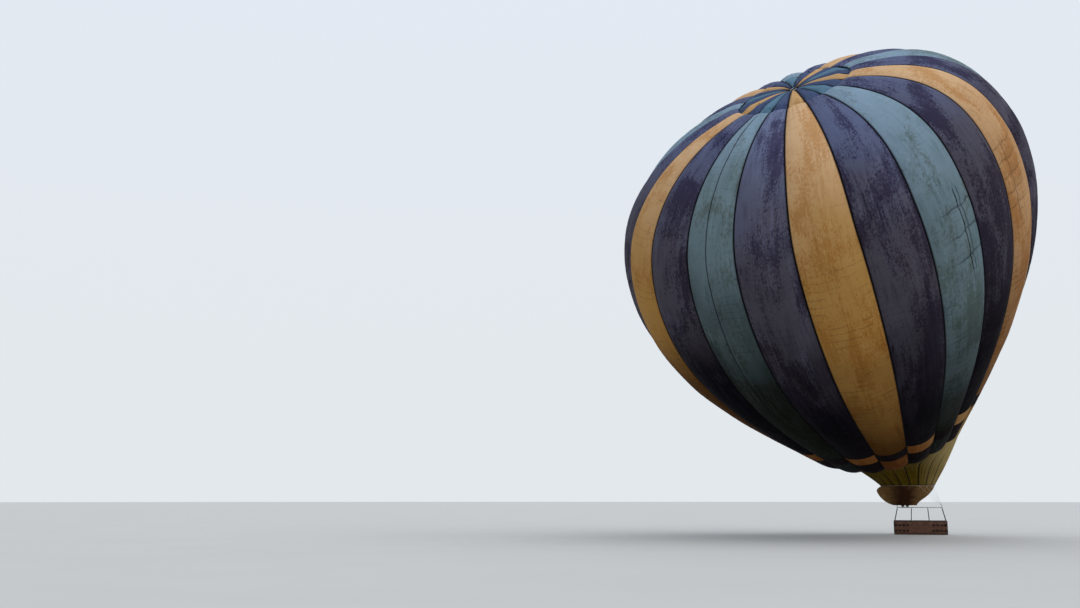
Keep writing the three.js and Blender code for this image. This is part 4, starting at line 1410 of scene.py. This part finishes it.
@dataclass
class CrownValve:
    """The round valve that closes the vent from inside, puffed up between the tapes."""

    envelope: Envelope
    overlap_radius: float = 4.35
    puff: float = 0.34
    under_tape: float = 0.05
    columns: int = 12
    thickness: float = 0.006
    out_over: tuple[float, float] = (3.15, 3.95)
    inset_over: tuple[float, float] = (1.0, 3.4)
    edge_over: tuple[float, float] = (3.6, 4.0)

    def build(self) -> None:
        """Makes the valve."""
        form = self.envelope.form
        radii = np.concatenate([np.linspace(0, 3.4, 18), np.linspace(3.4, self.overlap_radius, 12)[1:]])
        upper = form.steps < 1
        radius_table, run_table = form.outline(form.steps)[0][upper][::-1], form.run[upper][::-1]
        inside = eased_shares(self.columns)[:-1]
        columns = np.concatenate([gore + inside for gore in range(form.gores)] + [[form.gores]])
        ring = form.crown_ring_radius

        def place(column: Array, radius: Array) -> Array:
            cloth = np.interp(radius, radius_table, run_table)
            share = column - np.floor(column)
            round_it = np.sin(np.pi * share) ** self.envelope.roundness
            grow = np.sqrt(np.clip((radius - ring) / (form.vent_radius - ring), 0, 1))
            out = 1 - smoothstep(radius, *self.out_over)
            inset = self.envelope.valley * smoothstep(radius, *self.inset_over)
            folds = 0.03 * np.cos(FULL_TURN * 3 * share + column) * grow * out
            lift = -inset - self.under_tape + (self.puff * grow * out + folds) * round_it
            lift -= 0.06 * smoothstep(radius, *self.edge_over)
            return form.lifted(cloth, column - 1, lift)

        def flat(column: Array, radius: Array) -> Array:
            return np.stack([(column - np.floor(column) - 0.5) * radius * 0.3, 44 + radius], axis=-1)

        def seam(column: Array, radius: Array) -> Array:
            share = column - np.floor(column)
            return np.minimum(share, 1 - share) * radius * FULL_TURN / form.gores

        mesh = surface_mesh("crown_valve_cloth", columns, radii, place, flat, {SEAM_FIELD: seam}, weld=1e-5)
        self.colour_panels(mesh)
        looks = self.envelope.looks("valve_dark", "valve_teal", "valve_orange")
        piece = add_object(mesh, looks, ["crown_valve"], Body.VALVE)
        give_thickness(piece, self.thickness)

    def colour_panels(self, mesh: Mesh) -> None:
        """Gives each panel of the valve the cloth that follows its gore's stripe."""
        form = self.envelope.form
        front, right = form.section(form.axis[None])
        away = read(mesh.polygons, "center") - form.seam_surface(np.zeros(1), np.zeros(1))[0]
        turn = np.arctan2(away @ right[0], away @ front[0])
        number = np.floor((turn - form.first_seam) / (FULL_TURN / form.gores)) + 1
        mesh.polygons.foreach_set("material_index", [STRIPES[int(n) % 4].valve for n in number])


@dataclass
class Skirt(Assembly):
    """The mouth rope, the skirt that hangs from it and the flying wires."""

    rope_radius: float = 0.022
    rope_gap: float = 0.0003
    half_shell: float = 0.005
    stations: int = 160
    columns: int = 120
    rows: int = 30
    fold_depth: float = 0.04
    folds: int = 20
    thickness: float = 0.004
    wire_radius: float = 0.006
    cut: tuple[float, float] = (13.4, 2.1)
    body_power: float = 0.8
    ferrule: tuple[float, float] = (0.05, 0.14)
    wire_foot: float = 0.096
    sections: tuple[tuple[float, ...], ...] = (
        # height, middle x, middle y, half length, half depth of each ring below the rope
        (3.60, -1.11, -0.33, 2.17, 1.83),
        (3.15, -1.225, -0.26, 1.865, 1.56),
        (2.76, -1.32, -0.15, 1.43, 1.29),
        (2.48, -1.26, -0.05, 1.08, 1.09),
        (2.36, -1.08, 0.0, 0.90, 1.00),
    )

    def rope_point(self, turn: Array, outward: float = 0.0) -> Array:
        """Gives points of the mouth rope's centre line."""
        mouth = np.full_like(turn, 2.0)
        edge = self.form.seam_surface(mouth, turn)
        onward = unit(edge - self.form.seam_surface(mouth - 0.005, turn))
        normal = self.form.normal(mouth - 0.001, turn)
        return edge + normal * (outward - self.half_shell) + onward * (self.rope_radius + self.rope_gap)

    def add_skirt(self) -> None:
        """Adds the skirt, a sheet with soft folds that run down from the mouth."""
        shift, last = self.shift, len(self.sections)

        def place(turn: Array, share: Array) -> Array:
            top = self.rope_point(turn)
            left = smoothstep(0.5 - 0.5 * np.sin(turn), 0.4, 0.6)
            away = unit((top - np.array(self.form.mouth) - shift) * np.array((1.0, 1.0, 0)))
            top = top + away * (0.036 * left - 0.018)[:, None] - np.array((0, 0, self.rope_radius + 0.002))
            spot = share * last
            index = np.minimum(spot.astype(int), last - 1)
            stack = np.stack([top - shift, *(self.ring(section, turn) for section in self.sections)])
            pick = np.arange(len(turn))
            ends = [stack[np.clip(index + k, 0, last), pick] for k in (-1, 0, 1, 2)]
            outward = self.ring((0, 0, 0, 1, 1), turn)
            body = np.sin(np.pi * np.clip(share, 0, 1)) ** self.body_power
            wave = np.cos(self.folds * turn + 2.5 * np.sin(2 * turn)) + 0.5 * np.cos(2.6 * self.folds * turn)
            hem = self.fold_depth * 0.6 * np.cos(9 * turn) * share**3
            lift = self.fold_depth * body * wave * 0.7 + hem
            return catmull(ends, spot - index) + shift + outward * lift[:, None]

        def flat(turn: Array, share: Array) -> Array:
            return np.stack([turn * 2.0, 2.0 * (1 - share)], axis=-1)

        mesh = surface_mesh("skirt_cloth", np.linspace(0, FULL_TURN, self.columns + 1),
                            np.linspace(0, 1, self.rows + 1), place, flat, weld=1e-5)
        with opened(mesh) as shape:
            bmesh.ops.recalc_face_normals(shape, faces=shape.faces)
        piece = add_object(mesh, self.looks("skirt_cloth"), ["skirt"])
        give_thickness(piece, self.thickness, 0)

    @staticmethod
    def ring(section: Sequence[float], turn: Array) -> Array:
        """Gives the points of one oval ring of the skirt."""
        height, x, y, half_length, half_depth = section
        return np.stack([x + half_length * np.sin(turn), y - half_depth * np.cos(turn),
                         np.full_like(turn, height)], axis=-1)

    def add_rope(self) -> None:
        """Adds the rope in the hem of the mouth."""
        work = Workpiece()
        work.tube(self.rope_point(angles(self.stations)), self.rope_radius, sides=10, closed=True)
        work.finish("mouth_rope", "load_tape", self.looks("rope"))

    def add_wires(self, frame: "LoadFrame") -> None:
        """Adds the flying wires, each with its ferrules, and a karabiner at every corner."""
        work = Workpiece()
        near, far = self.ferrule
        for (x, y), seams in frame.wire_corners():
            corner = np.array((x, y, frame.top)) + self.shift
            foot = corner + (0, 0, self.wire_foot)
            for top in self.rope_point(self.form.seam_turn(np.array(seams))):
                way = unit(top - foot)
                work.rod(foot, top, self.wire_radius * 0.7, sides=8)
                work.rod(foot + way * near, foot + way * far, self.wire_radius * 1.5, sides=10)
                work.rod(top - way * near, top - way * far, self.wire_radius * 1.5, sides=10)
            self.add_karabiner(work, corner)
        work.finish("flying_wires_steel", "steel", self.looks("steel"), ["flying_wires"])

    @staticmethod
    def add_karabiner(work: Workpiece, foot: Array) -> None:
        """Adds a pear-shaped karabiner with its screw sleeve, standing on a frame corner."""
        turns = angles(32)
        half = 0.024 + 0.006 * np.sin(turns)
        loop = np.stack([half * np.cos(turns), 0 * turns, 0.06 + 0.05 * np.sin(turns)], axis=-1)
        work.tube(loop + foot, 0.007, sides=10, closed=True)
        sleeve = foot + (0.029, 0, 0.045)
        work.rod(sleeve, sleeve + (0, 0, 0.04), 0.0095, sides=12)

    def build(self, frame: "LoadFrame") -> None:
        """Makes skirt, rope and wires."""
        self.add_rope()
        self.add_skirt()
        self.add_wires(frame)


def catmull(ends: Sequence[Array], share: Array) -> Array:
    """Gives points of a smooth curve through the second and third of four points."""
    a, b, c, d = ends
    t = share[:, None]
    return 0.5 * (2 * b + (c - a) * t + (2 * a - 5 * b + 4 * c - d) * t**2 + (3 * b - a - 3 * c + d) * t**3)


# Load frame, burners and poles


@dataclass
class LoadFrame(Assembly):
    """The rectangle of tubes over the basket, with its fittings."""

    half_length: float = 1.755
    half_width: float = 0.505
    height: float = 2.19
    tube: float = 0.025
    corner_half: float = 0.045

    @property
    def top(self) -> float:
        """Height of the corner blocks' top faces."""
        return self.height + self.corner_half

    def wire_corners(self) -> list[tuple[tuple[float, float], tuple[int, ...]]]:
        """Gives each corner with the seams whose wires it carries."""
        x, y = self.half_length, self.half_width
        return [((-x, -y), (-2, -3, -4, -5)), ((x, -y), (1, 2, 3, 4)),
                ((x, y), (6, 7, 8, 9)), ((-x, y), (11, 12, 13, 14))]

    def build(self) -> None:
        """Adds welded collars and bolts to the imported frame."""
        work = Workpiece()
        size = np.array((self.half_length, self.half_width, 0))
        for side in CORNERS:
            corner = self.shift + size * (*side, 0) + (0, 0, self.height)
            for axis in (0, 1):
                out = np.zeros(3)
                out[axis] = side[axis]
                work.rod(corner - out * self.corner_half, corner - out * (self.corner_half + 0.03),
                         self.tube + 0.006, sides=24)
                face = out * self.corner_half
                work.rod(corner + face, corner + face * 1.16, 0.014, sides=6)
        work.finish("load_frame_fittings", "steel", self.looks("steel"))


@dataclass
class Burners(Assembly):
    """Four burners: jets, coil, can, blast valve and pilot light each."""

    middle_x: float = -1.13
    height: float = 2.19
    spread: tuple[float, float] = (0.18, 0.15)
    base_radius: float = 0.078
    can_radius: float = 0.094
    coil_radius: float = 0.119
    coil_tube: float = 0.0085
    coil_low: float = 0.088
    coil_high: float = 0.29
    coil_turns: int = 10
    rod_circle: float = 0.107
    leg_circle: float = 0.07
    jet_circle: float = 0.062
    jets: int = 32

    def build(self) -> None:
        """Makes the four burners."""
        for number, (side_x, side_y) in enumerate(CORNERS, 1):
            spot = (self.middle_x + side_x * self.spread[0], side_y * self.spread[1], self.height)
            self.add_burner(number, self.shift + spot, side_x, side_y)

    def add_burner(self, number: int, foot: Array, side_x: int, side_y: int) -> None:
        """Makes one burner.

        Args:
            number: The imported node's number.
            foot: Middle of the burner at the frame's height.
            side_x: Which side of the block it is on, along X.
            side_y: Which side of the block it is on, along Y.
        """
        work = Workpiece()
        low, wide, can = -0.0057, self.base_radius, self.can_radius
        work.lathe([(0, low), (wide, low), (wide + 0.004, 0.02), (wide, 0.044), (0.05, 0.05),
                    (0, 0.05)], foot)
        work.lathe([(can, 0.06), (can, 0.296), (can - 0.003, 0.298), (can - 0.003, 0.062), (can, 0.06)],
                   foot, sides=40)
        work.lathe([(0, 0.066), (0.088, 0.066), (0.088, 0.074), (0, 0.074), (0, 0.066)], foot)
        turns = np.linspace(0, FULL_TURN * self.coil_turns, 26 * self.coil_turns + 1)
        rise = np.linspace(self.coil_low, self.coil_high, len(turns))
        work.tube(foot + circle(turns, self.coil_radius, rise), self.coil_tube)
        for way in circle(angles(4) + QUARTER_TURN / 2):
            spot = foot + way * self.rod_circle
            work.rod(spot + (0, 0, 0.05), spot + (0, 0, 0.298), 0.004, sides=8)
            inner = foot + way * self.leg_circle + (0, 0, 0.02)
            work.rod(inner, inner + (0, 0, 0.05), 0.007, sides=8)
        ring = foot + circle(angles(self.jets), self.jet_circle, 0.083)
        work.tube(ring, 0.006, slot=1, closed=True)
        for spot in ring[::2] + (0, 0, 0.003):
            work.rod(spot, spot + (0, 0, 0.012), 0.0028, sides=6, slot=1)
        work.rod(foot + (0, 0, 0.074), foot + (0, 0, 0.12), 0.012, sides=12, slot=1)
        valve, out = foot + (0, side_y * 0.06, 0.02), np.array((0, side_y, 0))
        work.rod(valve, valve + out * 0.05, 0.014, slot=1)
        middle, half = valve + out * 0.028, np.array((0.016, 0.014, 0.016))
        work.block(middle - half, middle + half, 0.003, slot=1)
        grip = valve + out * 0.05
        work.rod(grip, grip + (side_x * 0.05, 0, -0.012), 0.006, sides=10, slot=2)
        looks = self.looks("burner_steel", "brass", "red_paint")
        work.finish(f"burner_{number}_detail", "burner_steel", looks, [f"burner_{number}"],
                    Body.BURNERS)


@dataclass
class Poles(Assembly):
    """Eight upright rods in padded covers."""

    radius: float = 0.029
    foot_height: float = 1.1303
    top_height: float = 2.0997
    foot_y: float = 0.762
    top_y: float = 0.505
    places: tuple[tuple[float, float], ...] = ((1.99, 1.755), (0.70, 0.64))
    sides: int = 20
    rows: int = 60
    straps: tuple[float, ...] = (0.04, 0.35, 0.66, 0.96)

    def build(self) -> None:
        """Makes every pole's cover."""
        places = [(side, place) for side in CORNERS for place in self.places]
        for number, ((side_x, side_y), (foot_x, top_x)) in enumerate(places, 1):
            foot = self.shift + (side_x * foot_x, side_y * self.foot_y, self.foot_height)
            top = self.shift + (side_x * top_x, side_y * self.top_y, self.top_height)
            self.add_pole(number, foot, top)

    def add_pole(self, number: int, foot: Array, top: Array) -> None:
        """Makes one cover, drawn in by its straps and creased between them."""

        def place(turn: Array, share: Array) -> Array:
            straps = sum(np.exp(-(((share - s) / 0.012) ** 2)) for s in self.straps)
            creases = 0.0012 * np.cos(70 * share + 3 * np.cos(turn)) + 0.0008 * np.cos(5 * turn)
            radius = self.radius - 0.0035 * straps + creases
            return foot + (top - foot) * share[:, None] + circle(turn, radius)

        work = Workpiece()
        work.take_tube(surface_mesh("cover", np.linspace(0, FULL_TURN, self.sides + 1),
                                    np.linspace(0, 1, self.rows + 1), place, weld=1e-6))
        for share in self.straps:
            ring = foot + (top - foot) * share + circle(angles(24), self.radius - 0.001)
            work.tube(ring, 0.003, sides=6, slot=1, closed=True)
        piece = work.finish(f"pole_{number}_cover", "leather", self.looks("pole_cover", "leather"),
                            [f"pole_{number}"])


# Basket


@dataclass
class Basket(Assembly):
    """Four woven walls with foot holes, the padded rim, and leather at the corners and foot."""

    length: float = 4.16
    width: float = 1.6
    height: float = 1.13
    wall_low: float = 0.0793
    wall_high: float = 1.0697
    wall: float = 0.036
    stake: float = 0.052
    weave_depth: float = 0.006
    hole_width: float = 0.15
    hole_height: float = 0.11
    hole_first: float = 1.0
    hole_step: float = 0.31
    hole_columns: int = 4
    hole_rows: tuple[float, float] = (0.32, 0.76)
    hole_frame: float = 0.017
    rim_width: float = 0.084
    rim_height: float = 0.07
    bay: float = 1.12

    def hole_places(self) -> list[tuple[float, float]]:
        """Gives the middle of every foot hole of a long wall."""
        return [(end * (self.hole_first + column * self.hole_step), z)
                for end in (-1, 1) for column in range(self.hole_columns) for z in self.hole_rows]

    def woven_wall(self, name: str, half: float, place: Callable[..., Array], holes: bool = False) -> None:
        """Makes one wall of basket work.

        Args:
            name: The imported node.
            half: Half the wall's length.
            place: Gives points from the place along the wall, the height and the outward relief.
            holes: Whether the foot holes are cut.
        """
        lines = int(round((self.wall_high - self.wall_low) / WEAVER_HEIGHT))
        stakes = int(round(2 * half / self.stake))

        def weave(a: Array, z: Array) -> Array:
            row = np.floor((z - self.wall_low) / WEAVER_HEIGHT + 1e-6)
            return np.cos(np.pi * (a + half) / self.stake + np.pi * row)

        def relief(a: Array, z: Array) -> Array:
            middle = np.abs(((z - self.wall_low) / WEAVER_HEIGHT) % 1 - 0.5) < 0.25
            out = np.where(middle, self.weave_depth * weave(a, z), -self.weave_depth * 1.1)
            return place(a, z, out - self.weave_depth)

        mesh = surface_mesh(f"{name}_weave", np.linspace(-half, half, 2 * stakes + 1),
                            np.linspace(self.wall_low, self.wall_high, 2 * lines + 1), relief,
                            fields={WEAVE_FIELD: weave})
        if holes:
            with opened(mesh) as shape:
                cut = [face for face in shape.faces if self.in_hole(face.calc_center_median())]
                bmesh.ops.delete(shape, geom=cut, context="FACES")
        piece = add_object(mesh, self.looks("wicker"), [name])
        give_thickness(piece, self.wall * 0.6)

    def in_hole(self, point: Vector) -> bool:
        """Says whether a point of a long wall lies in a foot hole."""
        spot = point - Vector(self.form.shift)
        return any(abs(spot.x - x) < self.hole_width / 2 and abs(spot.z - z) < self.hole_height / 2
                   for x, z in self.hole_places())

    def build_walls(self) -> None:
        """Makes the two long walls and the two end walls."""
        shift, half_length, half_width = self.shift, self.length / 2, self.width / 2
        for name, side in (("front_wall", -1), ("back_wall", 1)):

            def long_wall(a: Array, z: Array, out: Array, side: int = side) -> Array:
                return shift + np.stack([-side * a, side * (half_width + out), z], axis=-1)

            self.woven_wall(name, half_length, long_wall, True)
        for name, side in (("left_wall", -1), ("right_wall", 1)):

            def end_wall(a: Array, z: Array, out: Array, side: int = side) -> Array:
                return shift + np.stack([side * (half_length + out), side * a, z], axis=-1)

            self.woven_wall(name, half_width - 0.01, end_wall)

    def build_trims(self) -> None:
        """Adds hole frames, corner leathers, the foot band and the rope handles."""
        work = Workpiece()
        shift, half_length, half_width = self.shift, self.length / 2, self.width / 2
        edge = rounded_loop(self.hole_width / 2 + 0.008, self.hole_height / 2 + 0.008, 0.03, 0, 4, 1)
        for side in (-1, 1):
            for x, z in self.hole_places():
                middle = shift + (x, side * (half_width - 0.008), z)
                work.tube(middle + edge[:, (0, 2, 1)], self.hole_frame, slot=3, closed=True)
        for side_x, side_y in CORNERS:
            spot = shift + (side_x * (half_length - 0.016), side_y * (half_width - 0.016), 0)
            work.rod(spot + (0, 0, self.wall_low), spot + (0, 0, self.wall_high), 0.024, sides=20)
        for z in (0.062, 0.10, 0.135):
            loop = rounded_loop(half_length - 0.008, half_width - 0.008, 0.05, z)
            work.tube(loop + shift, 0.012, slot=1 if z < 0.08 else 0, closed=True)
        turn = np.linspace(0, math.pi, 13)
        for side_y in (-1, 1):
            for x in (-1.62, -0.85, 0.0, 0.85, 1.62):
                y = side_y * (half_width - 0.002)
                arc = np.stack([0.085 * np.cos(turn), 0 * turn, -0.11 * np.sin(turn)], axis=-1)
                work.tube(shift + (x, y, 0.99) + arc, 0.009, slot=2)
        work.finish("basket_trims", "leather", self.looks("leather", "wicker", "rope", "hole_frame"))

    def build_rim(self) -> None:
        """Makes the padded rim and the padded tops of the partitions."""
        work = Workpiece()
        z = self.height - self.rim_height / 2 + 0.004
        inset = self.rim_width / 2
        loop = rounded_loop(self.length / 2 - inset, self.width / 2 - inset, 0.07, z, 24, 60)
        work.tube(loop + self.shift, inset, sides=16, closed=True, flat_side=self.rim_height / self.rim_width)
        reach = self.width / 2 - inset
        for side in (-1, 1):
            x, end = side * (self.bay + self.wall) / 2, side * (self.length / 2 - inset)
            for start, stop in (((x, -reach), (x, reach)), ((x, 0), (end, 0))):
                path = self.shift + np.linspace((*start, z - 0.004), (*stop, z - 0.004), 24)
                work.tube(path, 0.038, sides=14, flat_side=0.84)
        piece = work.finish("basket_rim_padding", "leather", self.looks("leather"), ["basket_rim"], crease=80)

    def build(self) -> None:
        """Makes the whole basket."""
        self.build_walls()
        self.build_trims()
        self.build_rim()


def rounded_loop(half_length: float, half_width: float, radius: float, z: float,
                 corner_steps: int = 8, side_steps: int = 20) -> Array:
    """Gives the points of a level rectangle with round corners.

    Args:
        half_length: Half its size along X.
        half_width: Half its size along Y.
        radius: Radius of the corners.
        z: Height.
        corner_steps: Steps round each corner.
        side_steps: Steps along each side.

    Returns:
        The points, without a repeated end.
    """
    arcs = []
    for quarter, (side_x, side_y) in enumerate(((1, 1), (-1, 1), (-1, -1), (1, -1))):
        centre = np.array((side_x * (half_length - radius), side_y * (half_width - radius), z))
        turns = np.linspace(0, QUARTER_TURN, corner_steps + 1) + quarter * QUARTER_TURN
        arcs.append(centre + circle(turns, radius))
    points = []
    for arc, following in zip(arcs, arcs[1:] + arcs[:1]):
        points += [arc, np.linspace(arc[-1], following[0], side_steps + 1)[1:-1]]
    return np.vstack(points)


@dataclass
class FuelTanks(Assembly):
    """Four upright fuel cylinders with collar, valve and straps."""

    x: float = 0.32
    y: float = 0.5
    foot: float = 0.0793
    radius: float = 0.185

    def build(self) -> None:
        """Makes the four tanks."""
        wide = self.radius
        dome = [(wide * math.cos(t), 0.80 + 0.07 * math.sin(t)) for t in np.linspace(0, QUARTER_TURN, 9)]
        shapes = (
            # outline, sides, slot
            ([(0, 0.03), (0.15, 0.03), (0.178, 0.045), (wide, 0.075), *dome], 40, 0),
            ([(0.15, 0.0), (0.165, 0.0), (0.165, 0.05), (0.15, 0.05), (0.15, 0.0)], 40, 0),
            ([(0.105, 0.84), (0.115, 0.84), (0.115, 0.955), (0.105, 0.955), (0.105, 0.84)], 32, 0),
            ([(0, 0.87), (0.03, 0.87), (0.03, 0.9), (0.016, 0.91), (0.016, 0.93), (0, 0.93)], 20, 1),
            ([(0, 0.93), (0.034, 0.93), (0.034, 0.945), (0, 0.945)], 12, 2),
            *(([(wide, z), (wide + 0.004, z), (wide + 0.004, z + 0.05), (wide, z + 0.05), (wide, z)], 40, 3)
              for z in (0.25, 0.6)),
        )
        for number, (side_x, side_y) in enumerate(CORNERS, 1):
            work = Workpiece()
            spot = self.shift + (side_x * self.x, side_y * self.y, self.foot)
            for profile, sides, slot in shapes:
                work.lathe(profile, spot, sides, slot)
            work.finish(f"fuel_tank_{number}_detail", "tank_metal",
                        self.looks("tank_metal", "brass", "red_paint", "load_tape"), [f"fuel_tank_{number}"])


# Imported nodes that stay

PACKED_FINISHES = {
    "load_frame": "steel", "gimbal_ring": "steel", "burner_frame": "burner_steel",
    "basket_floor": "wood", "left_partition": "wicker", "right_partition": "wicker",
}


def dress_packed(nodes: dict[str, Piece], finishes: Finishes) -> None:
    """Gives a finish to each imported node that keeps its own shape."""
    for name, finish in PACKED_FINISHES.items():
        materials = nodes[name].data.materials
        materials.clear()
        materials.append(finishes[finish])
        LOG.info("%s keeps its shape, finished in %s", name, finish)


# Studio


@dataclass
class Studio:
    """Floor, light and camera."""

    floor_height: float = -22.156
    floor_radius: float = 900.0
    focal_pixels: float = 1127.0
    frame_pixels: float = 1080.0
    sensor: float = 36.0
    camera_place: Point = (5.893, -84.264, -19.236)
    camera_right: Point = (0.94923, 0.31457, 0.0)
    camera_up: Point = (0.05347, -0.16135, 0.98545)
    sun_strength: float = 1.3
    sun_spread: float = 70.0
    horizon: str = "e3e8ec"
    zenith: str = "e2ebf9"
    sky_strength: float = 1.0
    side_light: float = 0.62
    sun_turn: tuple[float, float] = (16.0, 22.0)

    def add_camera(self) -> None:
        """Puts the camera where the view was taken from."""
        data = bpy.data.cameras.new("view")
        data.sensor_width = self.sensor
        data.lens = self.focal_pixels / self.frame_pixels * self.sensor
        data.clip_start, data.clip_end = 0.5, 4000
        right, up = Vector(self.camera_right).normalized(), Vector(self.camera_up).normalized()
        turn = Matrix((right, up, right.cross(up))).transposed().to_4x4()
        camera = place_object("view", data)
        camera.matrix_world = Matrix.Translation(self.camera_place) @ turn
        bpy.context.scene.camera = camera

    def add_floor(self) -> None:
        """Adds a plain pale floor."""
        shape = bmesh.new()
        bmesh.ops.create_circle(shape, cap_ends=True, segments=96, radius=self.floor_radius)
        bmesh.ops.translate(shape, vec=(0, 0, self.floor_height), verts=shape.verts)
        floor = place_object("floor", to_mesh(shape, "floor"))
        material, graph, shader = new_material("studio_floor")
        tone = graph.mix(graph.noise(graph.solid(), 0.15, 4), "b4b3af", "bbbab6")
        graph.fill(shader, {"Base Color": tone, "Roughness": 0.9})
        floor.data.materials.append(material)

    def add_light(self) -> None:
        """Adds a soft sky, brighter low down at the right, and one very wide sun."""
        world = bpy.data.worlds.new("soft_sky")
        bpy.context.scene.world = world
        world.use_nodes = True
        world.node_tree.nodes.clear()
        graph = Graph(world.node_tree)
        x, y, z = graph.split(graph.node("ShaderNodeTexCoord").outputs["Generated"])
        colour = graph.mix(graph.ramp(z, 0.0, 0.8), self.horizon, self.zenith)
        behind = graph.times(x, graph.ramp(y, -0.5, 0.3, 1.0, 0.0))
        sideways = graph.times(behind, graph.ramp(z, 0.0, 0.7, 1.0, 0.0))
        strength = graph.times_plus(sideways, self.side_light, self.sky_strength)
        sky = graph.fill(graph.node("ShaderNodeBackground"), {"Color": colour, "Strength": strength})
        graph.fill(graph.node("ShaderNodeOutputWorld"), {"Surface": sky.outputs[0]})
        data = bpy.data.lights.new("soft_sun", "SUN")
        data.energy, data.angle = self.sun_strength, math.radians(self.sun_spread)
        sun = place_object("soft_sun", data)
        sun.rotation_euler = (*(math.radians(turn) for turn in self.sun_turn), 0)

    def build(self) -> None:
        """Sets the whole studio."""
        self.add_camera()
        self.add_floor()
        self.add_light()
        bpy.context.scene.view_settings.view_transform = "Standard"


def main() -> None:
    """Builds every sub-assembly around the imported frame."""
    logging.basicConfig(level=logging.INFO, format="%(message)s", stream=sys.stdout)
    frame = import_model()
    Studio().build()
    finishes = Finishes()
    form = EnvelopeForm()
    envelope = Envelope(form, finishes)
    envelope.build()
    CrownValve(envelope).build()
    load_frame = LoadFrame(form, finishes)
    load_frame.build()
    Skirt(form, finishes).build(load_frame)
    for kind in (Burners, Poles, Basket, FuelTanks):
        kind(form, finishes).build()
    dress_packed(frame["nodes"], finishes)


if __name__ == "__main__":
    main()
